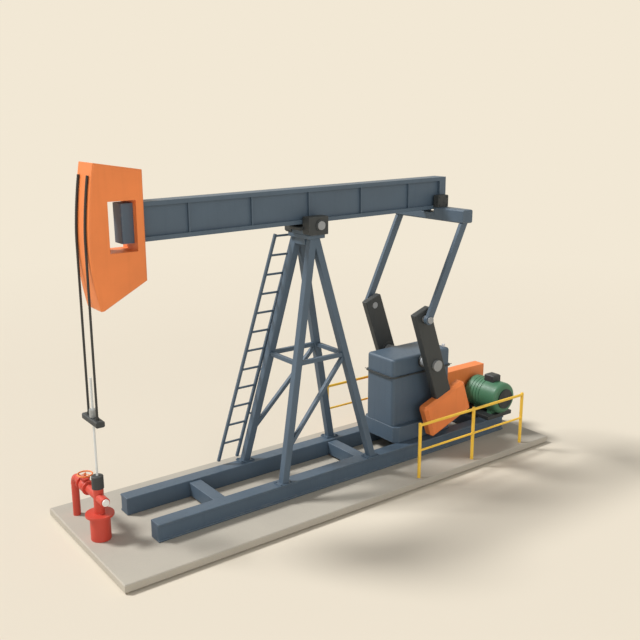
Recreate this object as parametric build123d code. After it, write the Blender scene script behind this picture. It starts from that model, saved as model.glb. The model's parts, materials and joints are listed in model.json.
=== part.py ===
from build123d import *
import os
from math import atan2, cos, degrees, radians, sin

# A beam pumping unit (pumpjack) on its concrete pad, with the wellhead it serves.
# Origin: centre of the pad's underside. +X runs from the well to the motor, +Z is up.

# Concrete pad
PAD_LENGTH = 9848.0
PAD_WIDTH = 3165.0
PAD_THICKNESS = 153.0
PAD_EDGE_CHAMFER = 15.0
WELL_FROM_PAD_END = 305.0

# Skid: two rails of channel section with cross members between them
RAIL_FROM_PAD_END = 983.0
RAIL_LENGTH = 8400.0
RAIL_HEIGHT = 321.0
RAIL_WIDTH = 275.0
RAIL_INNER_GAP = 930.0
RAIL_FLANGE = 40.0
RAIL_RECESS = 32.0
CROSS_WIDTH = 235.0
CROSS_HEIGHT = 250.0
CROSS_TOP_DROP = 30.0
CROSS_FRONT_FROM_PAD_END = 2320.0
CROSS_MIDDLE_FROM_PAD_END = 5500.0
CROSS_REAR_FROM_PAD_END = 8900.0

# Samson post: four legs that carry the saddle bearings
LEG_SECTION = 140.0
LEG_CORNER_RADIUS = 14.0
LEG_FRONT_FOOT_FROM_PAD_END = 3525.0
LEG_REAR_FOOT_FROM_PAD_END = 5585.0
LEG_FOOT_HALF_SPREAD = 655.0
LEG_TOP_FRONT_AHEAD = 82.0
LEG_TOP_REAR_AHEAD = 18.0
LEG_TOP_HALF_SPREAD = 225.0
FOOT_PLATE_THICKNESS = 20.0
FOOT_PLATE_WIDTH = 225.0
FOOT_PLATE_LENGTH = 290.0
RING_ABOVE_RAIL = 2120.0
RING_SECTION = 80.0
DIAGONAL_SECTION = 70.0
DIAGONAL_LOW_ABOVE_RAIL = 600.0
TOP_PLATE_THICKNESS = 75.0
TOP_PLATE_LENGTH = 385.0
TOP_PLATE_AHEAD = 36.0
TOP_PLATE_WIDTH = 645.0
TOP_PLATE_CHAMFER = 18.0

# Saddle: one cast housing on the post and a shaft clamped below the beam
PIVOT_FROM_PAD_END = 4570.0
PIVOT_ABOVE_PAD = 4890.0
SADDLE_SHAFT_RADIUS = 80.0
SADDLE_FRONT_FROM_PIVOT = 330.0
SADDLE_REAR_FROM_PIVOT = 175.0
SADDLE_BASE_BELOW_PIVOT = 170.0
SADDLE_HEIGHT = 330.0
SADDLE_CHEEK_INNER = 178.0
SADDLE_CHEEK_OUTER = 385.0
SADDLE_WALL_BELOW_PIVOT = 24.0
SADDLE_POCKET_CLEARANCE = 9.0
SADDLE_CHAMFER = 30.0
SADDLE_SHAFT_PROUD = 38.0
SADDLE_HUB_RADIUS = 122.0
SADDLE_HUB_HALF_WIDTH = 150.0
RUNNING_CLEARANCE = 0.05

# Walking beam: an I section with its web boxed in, and stiffeners between the flanges
BEAM_TILT_SLOPE = 0.0131
BEAM_DEPTH = 625.0
BEAM_WIDTH = 312.0
BEAM_FLANGE = 72.0
BEAM_WEB = 190.0
BEAM_BOTTOM_ABOVE_PIVOT = 24.0
BEAM_FRONT_FROM_PIVOT = 3660.0
BEAM_REAR_FROM_PIVOT = 3340.0
STIFFENER_THICKNESS = 28.0
STIFFENER_SPACING = 1207.0
STIFFENER_COUNT = 5
STIFFENER_FIRST_FROM_PIVOT = 2475.0
STIFFENER_INSET = 18.0
BEAM_END_PLATE = 170.0

# Horsehead: thick plated head; its face is an arc about the saddle pivot, eased flatter above
HEAD_EASING_DEG = 4.0
HEAD_UPPER_RADIUS = 8330.0
HEAD_UPPER_TOP_DEG = 10.52
HEAD_ARC_DOWN_DEG = 13.8
HEAD_HALF_THICKNESS = 282.0
HEAD_BACK_FROM_PIVOT = 3332.0
HEAD_TOP_REAR_ABOVE_PIVOT = 1112.0
HEAD_BACK_BOTTOM_BELOW_PIVOT = 612.0
HEAD_TIP_WIDTH = 50.0
HEAD_CHAMFER = 18.0
WINDOW_FRONT_FROM_PIVOT = 3922.0
WINDOW_REAR_FROM_PIVOT = 3466.0
WINDOW_TOP_ABOVE_PIVOT = 655.0
WINDOW_BOTTOM_BELOW_PIVOT = 132.0

# Wireline bridle, carrier bar and polished rod
ROPE_RADIUS = 20.0
ROPE_SIDES = 8
ROPE_HALF_SPREAD = 173.0
ROPE_TOP_DEG = 9.2
ROPE_GAP = 1.0
ROPE_JOINT_GAP = 1.0
CARRIER_BAR_HALF_LENGTH = 300.0
CARRIER_BAR_WIDTH = 150.0
CARRIER_BAR_HEIGHT = 100.0
CARRIER_BAR_CHAMFER = 16.0
CARRIER_BOTTOM_ABOVE_PAD = 2030.0
ROD_RADIUS = 19.0
ROD_TOP_ABOVE_CARRIER = 660.0
ROD_FLOOR_CLEARANCE = 12.0
ROD_CLAMP_RADIUS = 55.0
ROD_CLAMP_HEIGHT = 135.0
ROD_PACKING_CLEARANCE = 0.08

# Travel of the beam about the saddle, down and up from rest
BEAM_DOWN_DEG = 3.0
BEAM_UP_DEG = 13.0

# Wellhead
CASING_RADIUS = 168.0
CASING_HEIGHT = 420.0
CASING_FLANGE_RADIUS = 237.0
CASING_FLANGE_THICKNESS = 42.0
TEE_RADIUS = 86.0
TEE_HEIGHT = 440.0
TEE_BRANCH_RADIUS = 78.0
TEE_BRANCH_ABOVE_PAD = 745.0
TEE_NEAR_BRANCH_LENGTH = 190.0
PLUG_RADIUS = 60.0
PLUG_LENGTH = 24.0
STUFFING_RADIUS = 98.0
STUFFING_TOP_ABOVE_PAD = 1120.0
STUFFING_CHAMFER = 14.0
WELL_BORE_CLEARANCE = 30.0
VALVE_CENTRE_FROM_WELL = 545.0
VALVE_BODY_RADIUS = 112.0
VALVE_BODY_HALF_LENGTH = 48.0
VALVE_FLANGE_RADIUS = 122.0
VALVE_FLANGE_THICKNESS = 34.0
VALVE_FACE_TO_FACE = 300.0
VALVE_BONNET_RADIUS = 66.0
VALVE_BONNET_TOP_ABOVE_BRANCH = 150.0
VALVE_STEM_RADIUS = 16.0
HANDWHEEL_ABOVE_BRANCH = 203.0
HANDWHEEL_RADIUS = 122.0
HANDWHEEL_RIM_RADIUS = 14.0
HANDWHEEL_RIM_SIDES = 8
HANDWHEEL_HUB_RADIUS = 26.0
HANDWHEEL_HUB_HEIGHT = 32.0
HANDWHEEL_SPOKE_RADIUS = 7.5
HANDWHEEL_SPOKE_SIDES = 6
HANDWHEEL_SPOKE_COUNT = 3
HANDWHEEL_FIRST_SPOKE_SHARE = 0.5
FLOW_LINE_RADIUS = 66.0
FLOW_LINE_SIDES = 16
FLOW_LINE_DROP_FROM_WELL = 1057.0
FLOW_LINE_BEND_RADIUS = 150.0

# Gear reducer
GEARBOX_SHAFT_FROM_PAD_END = 7162.0
GEARBOX_SHAFT_ABOVE_PAD = 1912.0
PEDESTAL_HALF_LENGTH = 800.0
PEDESTAL_HALF_WIDTH = 525.0
PEDESTAL_HEIGHT = 335.0
PEDESTAL_CHAMFER = 95.0
HOUSING_HALF_LENGTH = 795.0
HOUSING_HALF_WIDTH = 405.0
HOUSING_FLANGE_ABOVE_PAD = 1690.0
HOUSING_CORNER_RADIUS = 70.0
PARTING_FLANGE_OVERHANG = 42.0
PARTING_FLANGE_THICKNESS = 26.0
COVER_HEIGHT = 372.0
COVER_TOP_ROUND = 60.0
BREATHER_RADIUS = 34.0
BREATHER_HEIGHT = 70.0
BREATHER_FROM_COVER_END = 97.0
BREATHER_FROM_COVER_SIDE = 105.0
BEARING_CAP_RADIUS = 128.0
BEARING_CAP_OUTER = 448.0

# Cranks, counterweights and crank pins
CRANK_SHAFT_RADIUS = 115.0
CRANK_SHAFT_PROUD = 54.0
CRANK_LEAN_DEG = 19.95
CRANK_INNER = 660.0
CRANK_THICKNESS = 150.0
CRANK_HALF_WIDTH = 209.0
CRANK_PIN_RADIUS_OF_TURN = 1083.0
CRANK_END_BEYOND_PIN = 166.0
CRANK_LOWER_END_BELOW_SHAFT = 1180.0
CRANK_CHAMFER = 14.0
CRANK_HUB_RADIUS = 165.0
CRANK_HUB_PROUD = 22.0
CRANK_PIN_RADIUS = 68.0
CRANK_PIN_GAP = 8.0
WEIGHT_OUTER = 862.0
WEIGHT_THICKNESS = 256.0
WEIGHT_TOP_BELOW_SHAFT = 693.0
WEIGHT_BOTTOM_BELOW_SHAFT = 1415.0
WEIGHT_HALF_WIDTH = 590.0
WEIGHT_CHAMFER = 60.0

# Equalizer, tail bearings and pitmans
TAIL_PIVOT_FROM_SADDLE = 3200.0
TAIL_PIVOT_ABOVE_SADDLE = 230.0
TAIL_BLOCK_HEIGHT = 235.0
TAIL_BLOCK_INNER = 164.0
TAIL_BLOCK_OUTER = 300.0
TAIL_BLOCK_CHAMFER = 20.0
TAIL_SHAFT_RADIUS = 55.0
TAIL_SHAFT_PROUD = 4.0
EQUALIZER_HALF_LENGTH = 988.0
EQUALIZER_WIDTH = 276.0
EQUALIZER_AHEAD = 62.0
EQUALIZER_DEPTH = 260.0
EQUALIZER_BELOW_PIVOT = 120.0
EQUALIZER_RELIEF_DEPTH = 112.0
EQUALIZER_RELIEF_HALF_WIDTH = 168.0
EQUALIZER_CHAMFER = 22.0
PITMAN_INNER = 874.0
PITMAN_THICKNESS = 80.0
PITMAN_WIDTH = 156.0
PITMAN_CORNER_RADIUS = 10.0
PITMAN_TOP_AHEAD = 118.0
WRIST_BEARING_RADIUS = 96.0
WRIST_PIN_PROUD = 36.0

# Motor on its base plate
MOTOR_PLATE_BEYOND_RAIL = 247.0
MOTOR_PLATE_LENGTH = 760.0
MOTOR_AXIS_FROM_PLATE_FRONT = 385.0
MOTOR_PLATE_HALF_WIDTH = 742.0
MOTOR_PLATE_THICKNESS = 85.0
MOTOR_RADIUS = 340.0
MOTOR_AXIS_ABOVE_PLATE = 365.0
MOTOR_NEAR_END = -850.0
MOTOR_FAR_END = 60.0
MOTOR_RIB_COUNT = 5
MOTOR_GROOVE_WIDTH = 26.0
MOTOR_GROOVE_DEPTH = 16.0
MOTOR_BELL_TAPER = 70.0
MOTOR_FAN_DISC_RADIUS = 215.0
MOTOR_FAN_DISC_DEPTH = 30.0
MOTOR_FOOT_HALF_SPAN = 195.0
MOTOR_FOOT_WIDTH = 120.0
MOTOR_SHAFT_RADIUS = 40.0
TERMINAL_BOX_LENGTH = 240.0
TERMINAL_BOX_WIDTH = 260.0
TERMINAL_BOX_HEIGHT = 133.0
TERMINAL_BOX_FROM_MIDDLE = 75.0
TERMINAL_BOX_CHAMFER = 22.0

# Belt guard on the far side of the reducer
GUARD_NEAR = 110.0
GUARD_THICKNESS = 270.0
GUARD_REAR_BEYOND_MOTOR = 400.0
GUARD_TOP_ABOVE_PAD = 1278.0
GUARD_CORNER_CHAMFER = 45.0

# Hand rails beside the drive
HAND_RAIL_SIDES = 12
RAIL_POST_RADIUS = 33.0
RAIL_TOP_BAR_RADIUS = 28.0
RAIL_MID_BAR_RADIUS = 21.0
RAIL_POST_HEIGHT = 1118.0
RAIL_TOP_ABOVE_PAD = 1068.0
RAIL_MID_ABOVE_PAD = 555.0
RAIL_LINE_FROM_PAD_EDGE = 133.5
RAIL_FIRST_POST_FROM_PAD_END = 6140.0
RAIL_POST_SPACING = 1472.0
RAIL_POST_COUNT = 3

# Ladder on the far side of the samson post
LADDER_STILE = 42.0
LADDER_RUNG_RADIUS = 16.0
LADDER_RUNG_SIDES = 8
LADDER_WIDTH = 410.0
LADDER_RUNG_COUNT = 12
LADDER_FOOT_FROM_PAD_END = 3020.0
LADDER_FOOT_OUT = 800.0
LADDER_FOOT_ABOVE_PAD = 380.0
LADDER_TOP_FROM_PAD_END = 4130.0
LADDER_TOP_OUT = 410.0
LADDER_TOP_ABOVE_PAD = 4680.0
LADDER_FIRST_RUNG = 355.0
LADDER_TOP_BEYOND_RUNG = 18.0
LADDER_BRACKET_SECTION = 30.0
LADDER_BRACKETS = 4

# One length that every cut runs past the material, and the angle of one full turn
OVERRUN = 50.0
FULL_TURN_DEG = 360.0

PAD_TOP = PAD_THICKNESS
RAIL_TOP = PAD_TOP + RAIL_HEIGHT


def from_pad_end(distance):
    return distance - PAD_LENGTH / 2


WELL_X = from_pad_end(WELL_FROM_PAD_END)
PIVOT_X = from_pad_end(PIVOT_FROM_PAD_END)
PIVOT_Z = PAD_TOP + PIVOT_ABOVE_PAD
SHAFT_X = from_pad_end(GEARBOX_SHAFT_FROM_PAD_END)
SHAFT_Z = PAD_TOP + GEARBOX_SHAFT_ABOVE_PAD
TAIL_X = PIVOT_X + TAIL_PIVOT_FROM_SADDLE
TAIL_Z = PIVOT_Z + TAIL_PIVOT_ABOVE_SADDLE
HEAD_ARC_RADIUS = PIVOT_X - WELL_X - ROPE_RADIUS - ROPE_GAP
QUARTER_TURN_DEG = FULL_TURN_DEG / 4
SIDES = (-1, 1)


def block(low, high):
    """A rectangular block given by its lowest and highest corners."""
    size = [top - bottom for bottom, top in zip(low, high)]
    centre = [(top + bottom) / 2 for bottom, top in zip(low, high)]
    return Pos(*centre) * Box(*size)


def upright(x, y, z_low, z_high, radius):
    """A round bar standing along Z."""
    return Pos(x, y, (z_low + z_high) / 2) * Cylinder(radius, z_high - z_low)


def crosswise(x, z, y_low, y_high, radius):
    """A round bar lying along Y."""
    place = Pos(x, (y_low + y_high) / 2, z) * Rot(QUARTER_TURN_DEG, 0, 0)
    return place * Cylinder(radius, abs(y_high - y_low))


def slanted(start, end, section, x_dir, overrun=0.0):
    """A bar of a drawn section from start to end, run on past both ends by overrun."""
    run = Vector(*end) - Vector(*start)
    first = Vector(*start) - run.normalized() * overrun
    return extrude(Plane(origin=first, x_dir=x_dir, z_dir=run) * section, run.length + 2 * overrun)


def mirrored_y(shape):
    """The same piece on the other side of the centre plane."""
    return mirror(shape, about=Plane.XZ)


def between(low, high, share):
    """The point a given share of the way from low to high."""
    return tuple(a + (b - a) * share for a, b in zip(low, high))


# Pad and skid

def concrete_pad():
    slab = block((-PAD_LENGTH / 2, -PAD_WIDTH / 2, 0), (PAD_LENGTH / 2, PAD_WIDTH / 2, PAD_THICKNESS))
    slab = chamfer(slab.faces().sort_by(Axis.Z)[-1].outer_wire().edges(), PAD_EDGE_CHAMFER)
    cellar = upright(WELL_X, 0, -OVERRUN, PAD_THICKNESS + OVERRUN, ROD_RADIUS + WELL_BORE_CLEARANCE)
    return slab - cellar


def skid_rail(side):
    """A channel-section rail: flat inside, recessed between its flanges outside."""
    start = from_pad_end(RAIL_FROM_PAD_END)
    end = start + RAIL_LENGTH
    inner = RAIL_INNER_GAP / 2
    outer = inner + RAIL_WIDTH
    rail = block((start, inner, PAD_TOP), (end, outer, RAIL_TOP))
    recess = block(
        (start - OVERRUN, outer - RAIL_RECESS, PAD_TOP + RAIL_FLANGE),
        (end + OVERRUN, outer + OVERRUN, RAIL_TOP - RAIL_FLANGE),
    )
    rail = rail - recess
    return rail if side > 0 else mirrored_y(rail)


def skid_cross_members():
    """Box members welded between the rails, a little below their tops."""
    top = RAIL_TOP - CROSS_TOP_DROP
    members = []
    for distance in (CROSS_FRONT_FROM_PAD_END, CROSS_MIDDLE_FROM_PAD_END, CROSS_REAR_FROM_PAD_END):
        x = from_pad_end(distance)
        members.append(block(
            (x - CROSS_WIDTH / 2, -RAIL_INNER_GAP / 2, top - CROSS_HEIGHT),
            (x + CROSS_WIDTH / 2, RAIL_INNER_GAP / 2, top),
        ))
    return members


# Samson post

TOP_PLATE_TOP = PIVOT_Z - SADDLE_BASE_BELOW_PIVOT
TOP_PLATE_UNDERSIDE = TOP_PLATE_TOP - TOP_PLATE_THICKNESS
FOOT_TOP = RAIL_TOP + FOOT_PLATE_THICKNESS
RING_Z = RAIL_TOP + RING_ABOVE_RAIL


def leg_foot(front, side):
    distance = LEG_FRONT_FOOT_FROM_PAD_END if front else LEG_REAR_FOOT_FROM_PAD_END
    return (from_pad_end(distance), side * LEG_FOOT_HALF_SPREAD, FOOT_TOP)


def leg_top(front, side):
    ahead = LEG_TOP_FRONT_AHEAD if front else LEG_TOP_REAR_AHEAD
    return (PIVOT_X - ahead, side * LEG_TOP_HALF_SPREAD, TOP_PLATE_UNDERSIDE)


def leg_point(front, side, z):
    """The leg's centreline at a given height."""
    share = (z - FOOT_TOP) / (TOP_PLATE_UNDERSIDE - FOOT_TOP)
    return between(leg_foot(front, side), leg_top(front, side), share)


def samson_leg(front, side):
    """A square tube welded to its foot plate and cut level under the top plate."""
    section = RectangleRounded(LEG_SECTION, LEG_SECTION, LEG_CORNER_RADIUS)
    leg = slanted(leg_foot(front, side), leg_top(front, side), section, (1, 0, 0), LEG_SECTION)
    level = block((-PAD_LENGTH, -PAD_LENGTH, RAIL_TOP), (PAD_LENGTH, PAD_LENGTH, TOP_PLATE_UNDERSIDE))
    x, y, z = leg_foot(front, side)
    plate = block(
        (x - FOOT_PLATE_LENGTH / 2, y - FOOT_PLATE_WIDTH / 2, RAIL_TOP),
        (x + FOOT_PLATE_LENGTH / 2, y + FOOT_PLATE_WIDTH / 2, z),
    )
    return (leg & level) + plate


def samson_legs():
    """All four legs; each rear one is coped where it meets the front one below the top plate."""
    legs = {}
    for side in SIDES:
        legs[(True, side)] = samson_leg(True, side)
        rear = samson_leg(False, side) - legs[(True, side)]
        legs[(False, side)] = rear.solids().sort_by(SortBy.VOLUME)[-1]
    return legs


def samson_ring(legs):
    """Four level struts that tie the legs halfway up."""
    section = Rectangle(RING_SECTION, RING_SECTION)
    corners = [(True, -1), (True, 1), (False, 1), (False, -1)]
    struts = []
    for first, second in zip(corners, corners[1:] + corners[:1]):
        start = leg_point(*first, RING_Z)
        end = leg_point(*second, RING_Z)
        struts.append(slanted(start, end, section, (0, 0, 1)) - legs[first] - legs[second])
    return struts


def samson_diagonals(legs, ring):
    """One brace on each side, from low on the front leg to the ring at the rear leg."""
    section = Rectangle(DIAGONAL_SECTION, DIAGONAL_SECTION)
    braces = []
    for side in SIDES:
        low = leg_point(True, side, RAIL_TOP + DIAGONAL_LOW_ABOVE_RAIL)
        high = leg_point(False, side, RING_Z)
        brace = slanted(low, high, section, (0, 1, 0)) - legs[(True, side)] - legs[(False, side)]
        for strut in ring:
            brace = brace - strut
        braces.append(brace.solids().sort_by(SortBy.VOLUME)[-1])
    return braces


def samson_top_plate():
    x = PIVOT_X - TOP_PLATE_AHEAD
    plate = block(
        (x - TOP_PLATE_LENGTH / 2, -TOP_PLATE_WIDTH / 2, TOP_PLATE_UNDERSIDE),
        (x + TOP_PLATE_LENGTH / 2, TOP_PLATE_WIDTH / 2, TOP_PLATE_TOP),
    )
    return chamfer(plate.edges().filter_by(Axis.Z), TOP_PLATE_CHAMFER)


def saddle_housing():
    """One casting on the post: two bored cheeks beside the beam, joined by low end walls."""
    front = PIVOT_X - SADDLE_FRONT_FROM_PIVOT
    rear = PIVOT_X + SADDLE_REAR_FROM_PIVOT
    body = block(
        (front, -SADDLE_CHEEK_OUTER, TOP_PLATE_TOP),
        (rear, SADDLE_CHEEK_OUTER, TOP_PLATE_TOP + SADDLE_HEIGHT),
    )
    body = chamfer(body.faces().sort_by(Axis.Z)[-1].edges().filter_by(Axis.Y), SADDLE_CHAMFER)
    beam_way = block(
        (front - OVERRUN, -SADDLE_CHEEK_INNER, PIVOT_Z - SADDLE_WALL_BELOW_PIVOT),
        (rear + OVERRUN, SADDLE_CHEEK_INNER, PIVOT_Z + SADDLE_HEIGHT),
    )
    reach_x = SADDLE_HUB_RADIUS + SADDLE_POCKET_CLEARANCE
    reach_y = SADDLE_HUB_HALF_WIDTH + SADDLE_POCKET_CLEARANCE
    hub_pocket = block(
        (PIVOT_X - reach_x, -reach_y, TOP_PLATE_TOP - OVERRUN),
        (PIVOT_X + reach_x, reach_y, PIVOT_Z),
    )
    reach = SADDLE_CHEEK_OUTER + OVERRUN
    bore = crosswise(PIVOT_X, PIVOT_Z, -reach, reach, SADDLE_SHAFT_RADIUS + RUNNING_CLEARANCE)
    return body - beam_way - hub_pocket - bore


def ladder_line(share, across):
    """A point on the ladder: a share of its length up, and a distance along the rungs."""
    foot = (from_pad_end(LADDER_FOOT_FROM_PAD_END), LADDER_FOOT_OUT, PAD_TOP + LADDER_FOOT_ABOVE_PAD)
    top = (from_pad_end(LADDER_TOP_FROM_PAD_END), LADDER_TOP_OUT, PAD_TOP + LADDER_TOP_ABOVE_PAD)
    x, y, z = between(foot, top, share)
    return (x + across, y, z)


def ladder():
    """Two square stiles joined by round rungs."""
    section = Rectangle(LADDER_STILE, LADDER_STILE)
    stiles = [slanted(ladder_line(0, across), ladder_line(1, across), section, (1, 0, 0))
              for across in (0, LADDER_WIDTH)]
    length = (Vector(*ladder_line(1, 0)) - Vector(*ladder_line(0, 0))).length
    first = LADDER_FIRST_RUNG / length
    last = 1 - (LADDER_TOP_BEYOND_RUNG + LADDER_RUNG_RADIUS) / length
    frame = stiles[0] + stiles[1]
    for number in range(LADDER_RUNG_COUNT):
        share = first + (last - first) * number / (LADDER_RUNG_COUNT - 1)
        frame = frame + slanted(ladder_line(share, 0), ladder_line(share, LADDER_WIDTH),
                                RegularPolygon(LADDER_RUNG_RADIUS, LADDER_RUNG_SIDES), (0, 1, 0))
    return frame


def ladder_brackets(legs, frame):
    """Short bars that hold the ladder's inner stile off the far front leg."""
    section = Rectangle(LADDER_BRACKET_SECTION, LADDER_BRACKET_SECTION)
    leg = legs[(True, 1)]
    brackets = []
    for number in range(LADDER_BRACKETS):
        share = (number + 1) / (LADDER_BRACKETS + 1)
        stile = ladder_line(share, LADDER_WIDTH)
        bracket = slanted(leg_point(True, 1, stile[2]), stile, section, (0, 0, 1)) - leg - frame
        brackets.append(bracket.solids().sort_by(SortBy.VOLUME)[-1])
    return brackets


# Walking beam, built level about the saddle pivot and then tilted

BEAM_PLACE = Pos(PIVOT_X, 0, PIVOT_Z) * Rot(0, -degrees(atan2(BEAM_TILT_SLOPE, 1)), 0)
BEAM_TOP = BEAM_BOTTOM_ABOVE_PIVOT + BEAM_DEPTH


def saddle_shaft():
    reach = SADDLE_CHEEK_OUTER + SADDLE_SHAFT_PROUD
    return crosswise(PIVOT_X, PIVOT_Z, -reach, reach, SADDLE_SHAFT_RADIUS)


def tail_shaft():
    reach = TAIL_BLOCK_OUTER + TAIL_SHAFT_PROUD
    return crosswise(TAIL_X, TAIL_Z, -reach, reach, TAIL_SHAFT_RADIUS)


def beam_envelope():
    """The full rectangle that the I section fits in, front to rear."""
    return BEAM_PLACE * block(
        (-BEAM_FRONT_FROM_PIVOT, -BEAM_WIDTH / 2, BEAM_BOTTOM_ABOVE_PIVOT),
        (BEAM_REAR_FROM_PIVOT, BEAM_WIDTH / 2, BEAM_TOP),
    )


def beam_recess(front, rear, inner):
    """Two hollows between the flanges, one each side, cut in from the edges to a plane."""
    low = BEAM_BOTTOM_ABOVE_PIVOT + BEAM_FLANGE
    high = BEAM_TOP - BEAM_FLANGE
    near = block((front, -BEAM_WIDTH, low), (rear, -inner, high))
    return near + block((front, inner, low), (rear, BEAM_WIDTH, high))


def walking_beam(shafts):
    """A boxed I section, solid at the nose, with stiffeners and a thick end at the tail."""
    front = -HEAD_BACK_FROM_PIVOT
    rear = BEAM_REAR_FROM_PIVOT - BEAM_END_PLATE
    beam = block(
        (-BEAM_FRONT_FROM_PIVOT, -BEAM_WIDTH / 2, BEAM_BOTTOM_ABOVE_PIVOT),
        (BEAM_REAR_FROM_PIVOT, BEAM_WIDTH / 2, BEAM_TOP),
    )
    beam = beam - beam_recess(front, rear, BEAM_WIDTH / 2 - STIFFENER_INSET)
    start = front
    for number in range(STIFFENER_COUNT):
        stiffener = -STIFFENER_FIRST_FROM_PIVOT + number * STIFFENER_SPACING
        beam = beam - beam_recess(start, stiffener - STIFFENER_THICKNESS / 2, BEAM_WEB / 2)
        start = stiffener + STIFFENER_THICKNESS / 2
    beam = BEAM_PLACE * (beam - beam_recess(start, rear, BEAM_WEB / 2))
    for shaft in shafts:
        beam = beam - shaft
    return beam


def saddle_hub(shaft):
    """The casting under the beam that grips the saddle shaft."""
    barrel = crosswise(PIVOT_X, PIVOT_Z, -SADDLE_HUB_HALF_WIDTH, SADDLE_HUB_HALF_WIDTH, SADDLE_HUB_RADIUS)
    cheek = block(
        (PIVOT_X - SADDLE_HUB_RADIUS, -SADDLE_HUB_HALF_WIDTH, PIVOT_Z),
        (PIVOT_X + SADDLE_HUB_RADIUS, SADDLE_HUB_HALF_WIDTH, PIVOT_Z + SADDLE_HUB_RADIUS),
    )
    below_beam = BEAM_PLACE * block(
        (-BEAM_DEPTH, -BEAM_WIDTH, -BEAM_DEPTH),
        (BEAM_DEPTH, BEAM_WIDTH, BEAM_BOTTOM_ABOVE_PIVOT),
    )
    return ((barrel + cheek) & below_beam) - shaft


def on_face(angle_deg, out=0.0, y=0.0):
    """A point a distance out from the head's face, where the face looks an angle above level.

    Below the easing angle the face is an arc about the saddle pivot, and above it a flatter
    arc that leaves the first one tangentially.
    """
    easing = radians(HEAD_EASING_DEG)
    further = HEAD_UPPER_RADIUS - HEAD_ARC_RADIUS if angle_deg > HEAD_EASING_DEG else 0.0
    radius = HEAD_ARC_RADIUS + further + out
    centre_x = PIVOT_X + further * cos(easing)
    centre_z = PIVOT_Z - further * sin(easing)
    angle = radians(angle_deg)
    return (centre_x - radius * cos(angle), y, centre_z + radius * sin(angle))


def face_arcs(low_deg, top_deg, out=0.0, y=0.0):
    """The two tangent arcs along the face, from low to top, a distance out from it."""
    low = on_face(low_deg, out, y)
    easing = on_face(HEAD_EASING_DEG, out, y)
    top = on_face(top_deg, out, y)
    lower = ThreePointArc(low, on_face((low_deg + HEAD_EASING_DEG) / 2, out, y), easing)
    upper = ThreePointArc(easing, on_face((HEAD_EASING_DEG + top_deg) / 2, out, y), top)
    return [lower, upper]


def horsehead(envelope):
    """The curved head: its face for the ropes, a window, and a seat for the beam."""
    bottom = on_face(-HEAD_ARC_DOWN_DEG)
    tip = (bottom[0] + HEAD_TIP_WIDTH, 0, bottom[2])
    back_x = PIVOT_X - HEAD_BACK_FROM_PIVOT
    back_low = (back_x, 0, PIVOT_Z - HEAD_BACK_BOTTOM_BELOW_PIVOT)
    back_high = (back_x, 0, PIVOT_Z + HEAD_TOP_REAR_ABOVE_PIVOT)
    outline = Wire(face_arcs(-HEAD_ARC_DOWN_DEG, HEAD_UPPER_TOP_DEG) + [
        Line(on_face(HEAD_UPPER_TOP_DEG), back_high),
        Line(back_high, back_low),
        Line(back_low, tip),
        Line(tip, bottom),
    ])
    head = extrude(Face(outline), HEAD_HALF_THICKNESS, dir=(0, 1, 0), both=True)
    sides = head.faces().filter_by(Plane.XZ).sort_by(Axis.Y)
    rim = sides[0].outer_wire().edges() + sides[-1].outer_wire().edges()
    head = chamfer(rim, HEAD_CHAMFER)
    reach = HEAD_HALF_THICKNESS + OVERRUN
    window = block(
        (PIVOT_X - WINDOW_FRONT_FROM_PIVOT, -reach, PIVOT_Z - WINDOW_BOTTOM_BELOW_PIVOT),
        (PIVOT_X - WINDOW_REAR_FROM_PIVOT, reach, PIVOT_Z + WINDOW_TOP_ABOVE_PIVOT),
    )
    return head - window - envelope


def bridle_wrap():
    """The two ropes where they lie on the head's face."""
    out = ROPE_GAP + ROPE_RADIUS
    low_deg = degrees(ROPE_JOINT_GAP / (HEAD_ARC_RADIUS + out))
    section = RegularPolygon(ROPE_RADIUS, ROPE_SIDES)
    ropes = []
    for side in SIDES:
        path = Wire(face_arcs(low_deg, ROPE_TOP_DEG, out, side * ROPE_HALF_SPREAD))
        ropes.append(sweep(Plane(origin=path @ 0, z_dir=path % 0) * section, path))
    return ropes


# Polished rod, carrier bar and hanging bridle

CARRIER_BOTTOM = PAD_TOP + CARRIER_BOTTOM_ABOVE_PAD
CARRIER_TOP = CARRIER_BOTTOM + CARRIER_BAR_HEIGHT
ROD_DROP = radians(BEAM_DOWN_DEG) * (PIVOT_X - WELL_X)


def bridle_drop():
    section = RegularPolygon(ROPE_RADIUS, ROPE_SIDES)
    length = PIVOT_Z - ROPE_JOINT_GAP - CARRIER_TOP
    return [extrude(Pos(WELL_X, side * ROPE_HALF_SPREAD, CARRIER_TOP) * section, length) for side in SIDES]


def polished_rod():
    """The rod's lower end stays above the pad's underside at the bottom of the stroke."""
    return upright(WELL_X, 0, ROD_DROP + ROD_FLOOR_CLEARANCE, CARRIER_TOP + ROD_TOP_ABOVE_CARRIER, ROD_RADIUS)


def carrier_bar():
    bar = block(
        (WELL_X - CARRIER_BAR_WIDTH / 2, -CARRIER_BAR_HALF_LENGTH, CARRIER_BOTTOM),
        (WELL_X + CARRIER_BAR_WIDTH / 2, CARRIER_BAR_HALF_LENGTH, CARRIER_TOP),
    )
    bar = chamfer(bar.edges(), CARRIER_BAR_CHAMFER)
    return bar - polished_rod()


def rod_clamp():
    clamp = upright(WELL_X, 0, CARRIER_TOP, CARRIER_TOP + ROD_CLAMP_HEIGHT, ROD_CLAMP_RADIUS)
    return clamp - polished_rod()


# Wellhead

BRANCH_Z = PAD_TOP + TEE_BRANCH_ABOVE_PAD
CASING_TOP = PAD_TOP + CASING_HEIGHT + CASING_FLANGE_THICKNESS
TEE_TOP = CASING_TOP + TEE_HEIGHT


def well_bore():
    """The open way down the wellhead round the polished rod."""
    return upright(WELL_X, 0, -OVERRUN, TEE_TOP, ROD_RADIUS + WELL_BORE_CLEARANCE)


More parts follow.
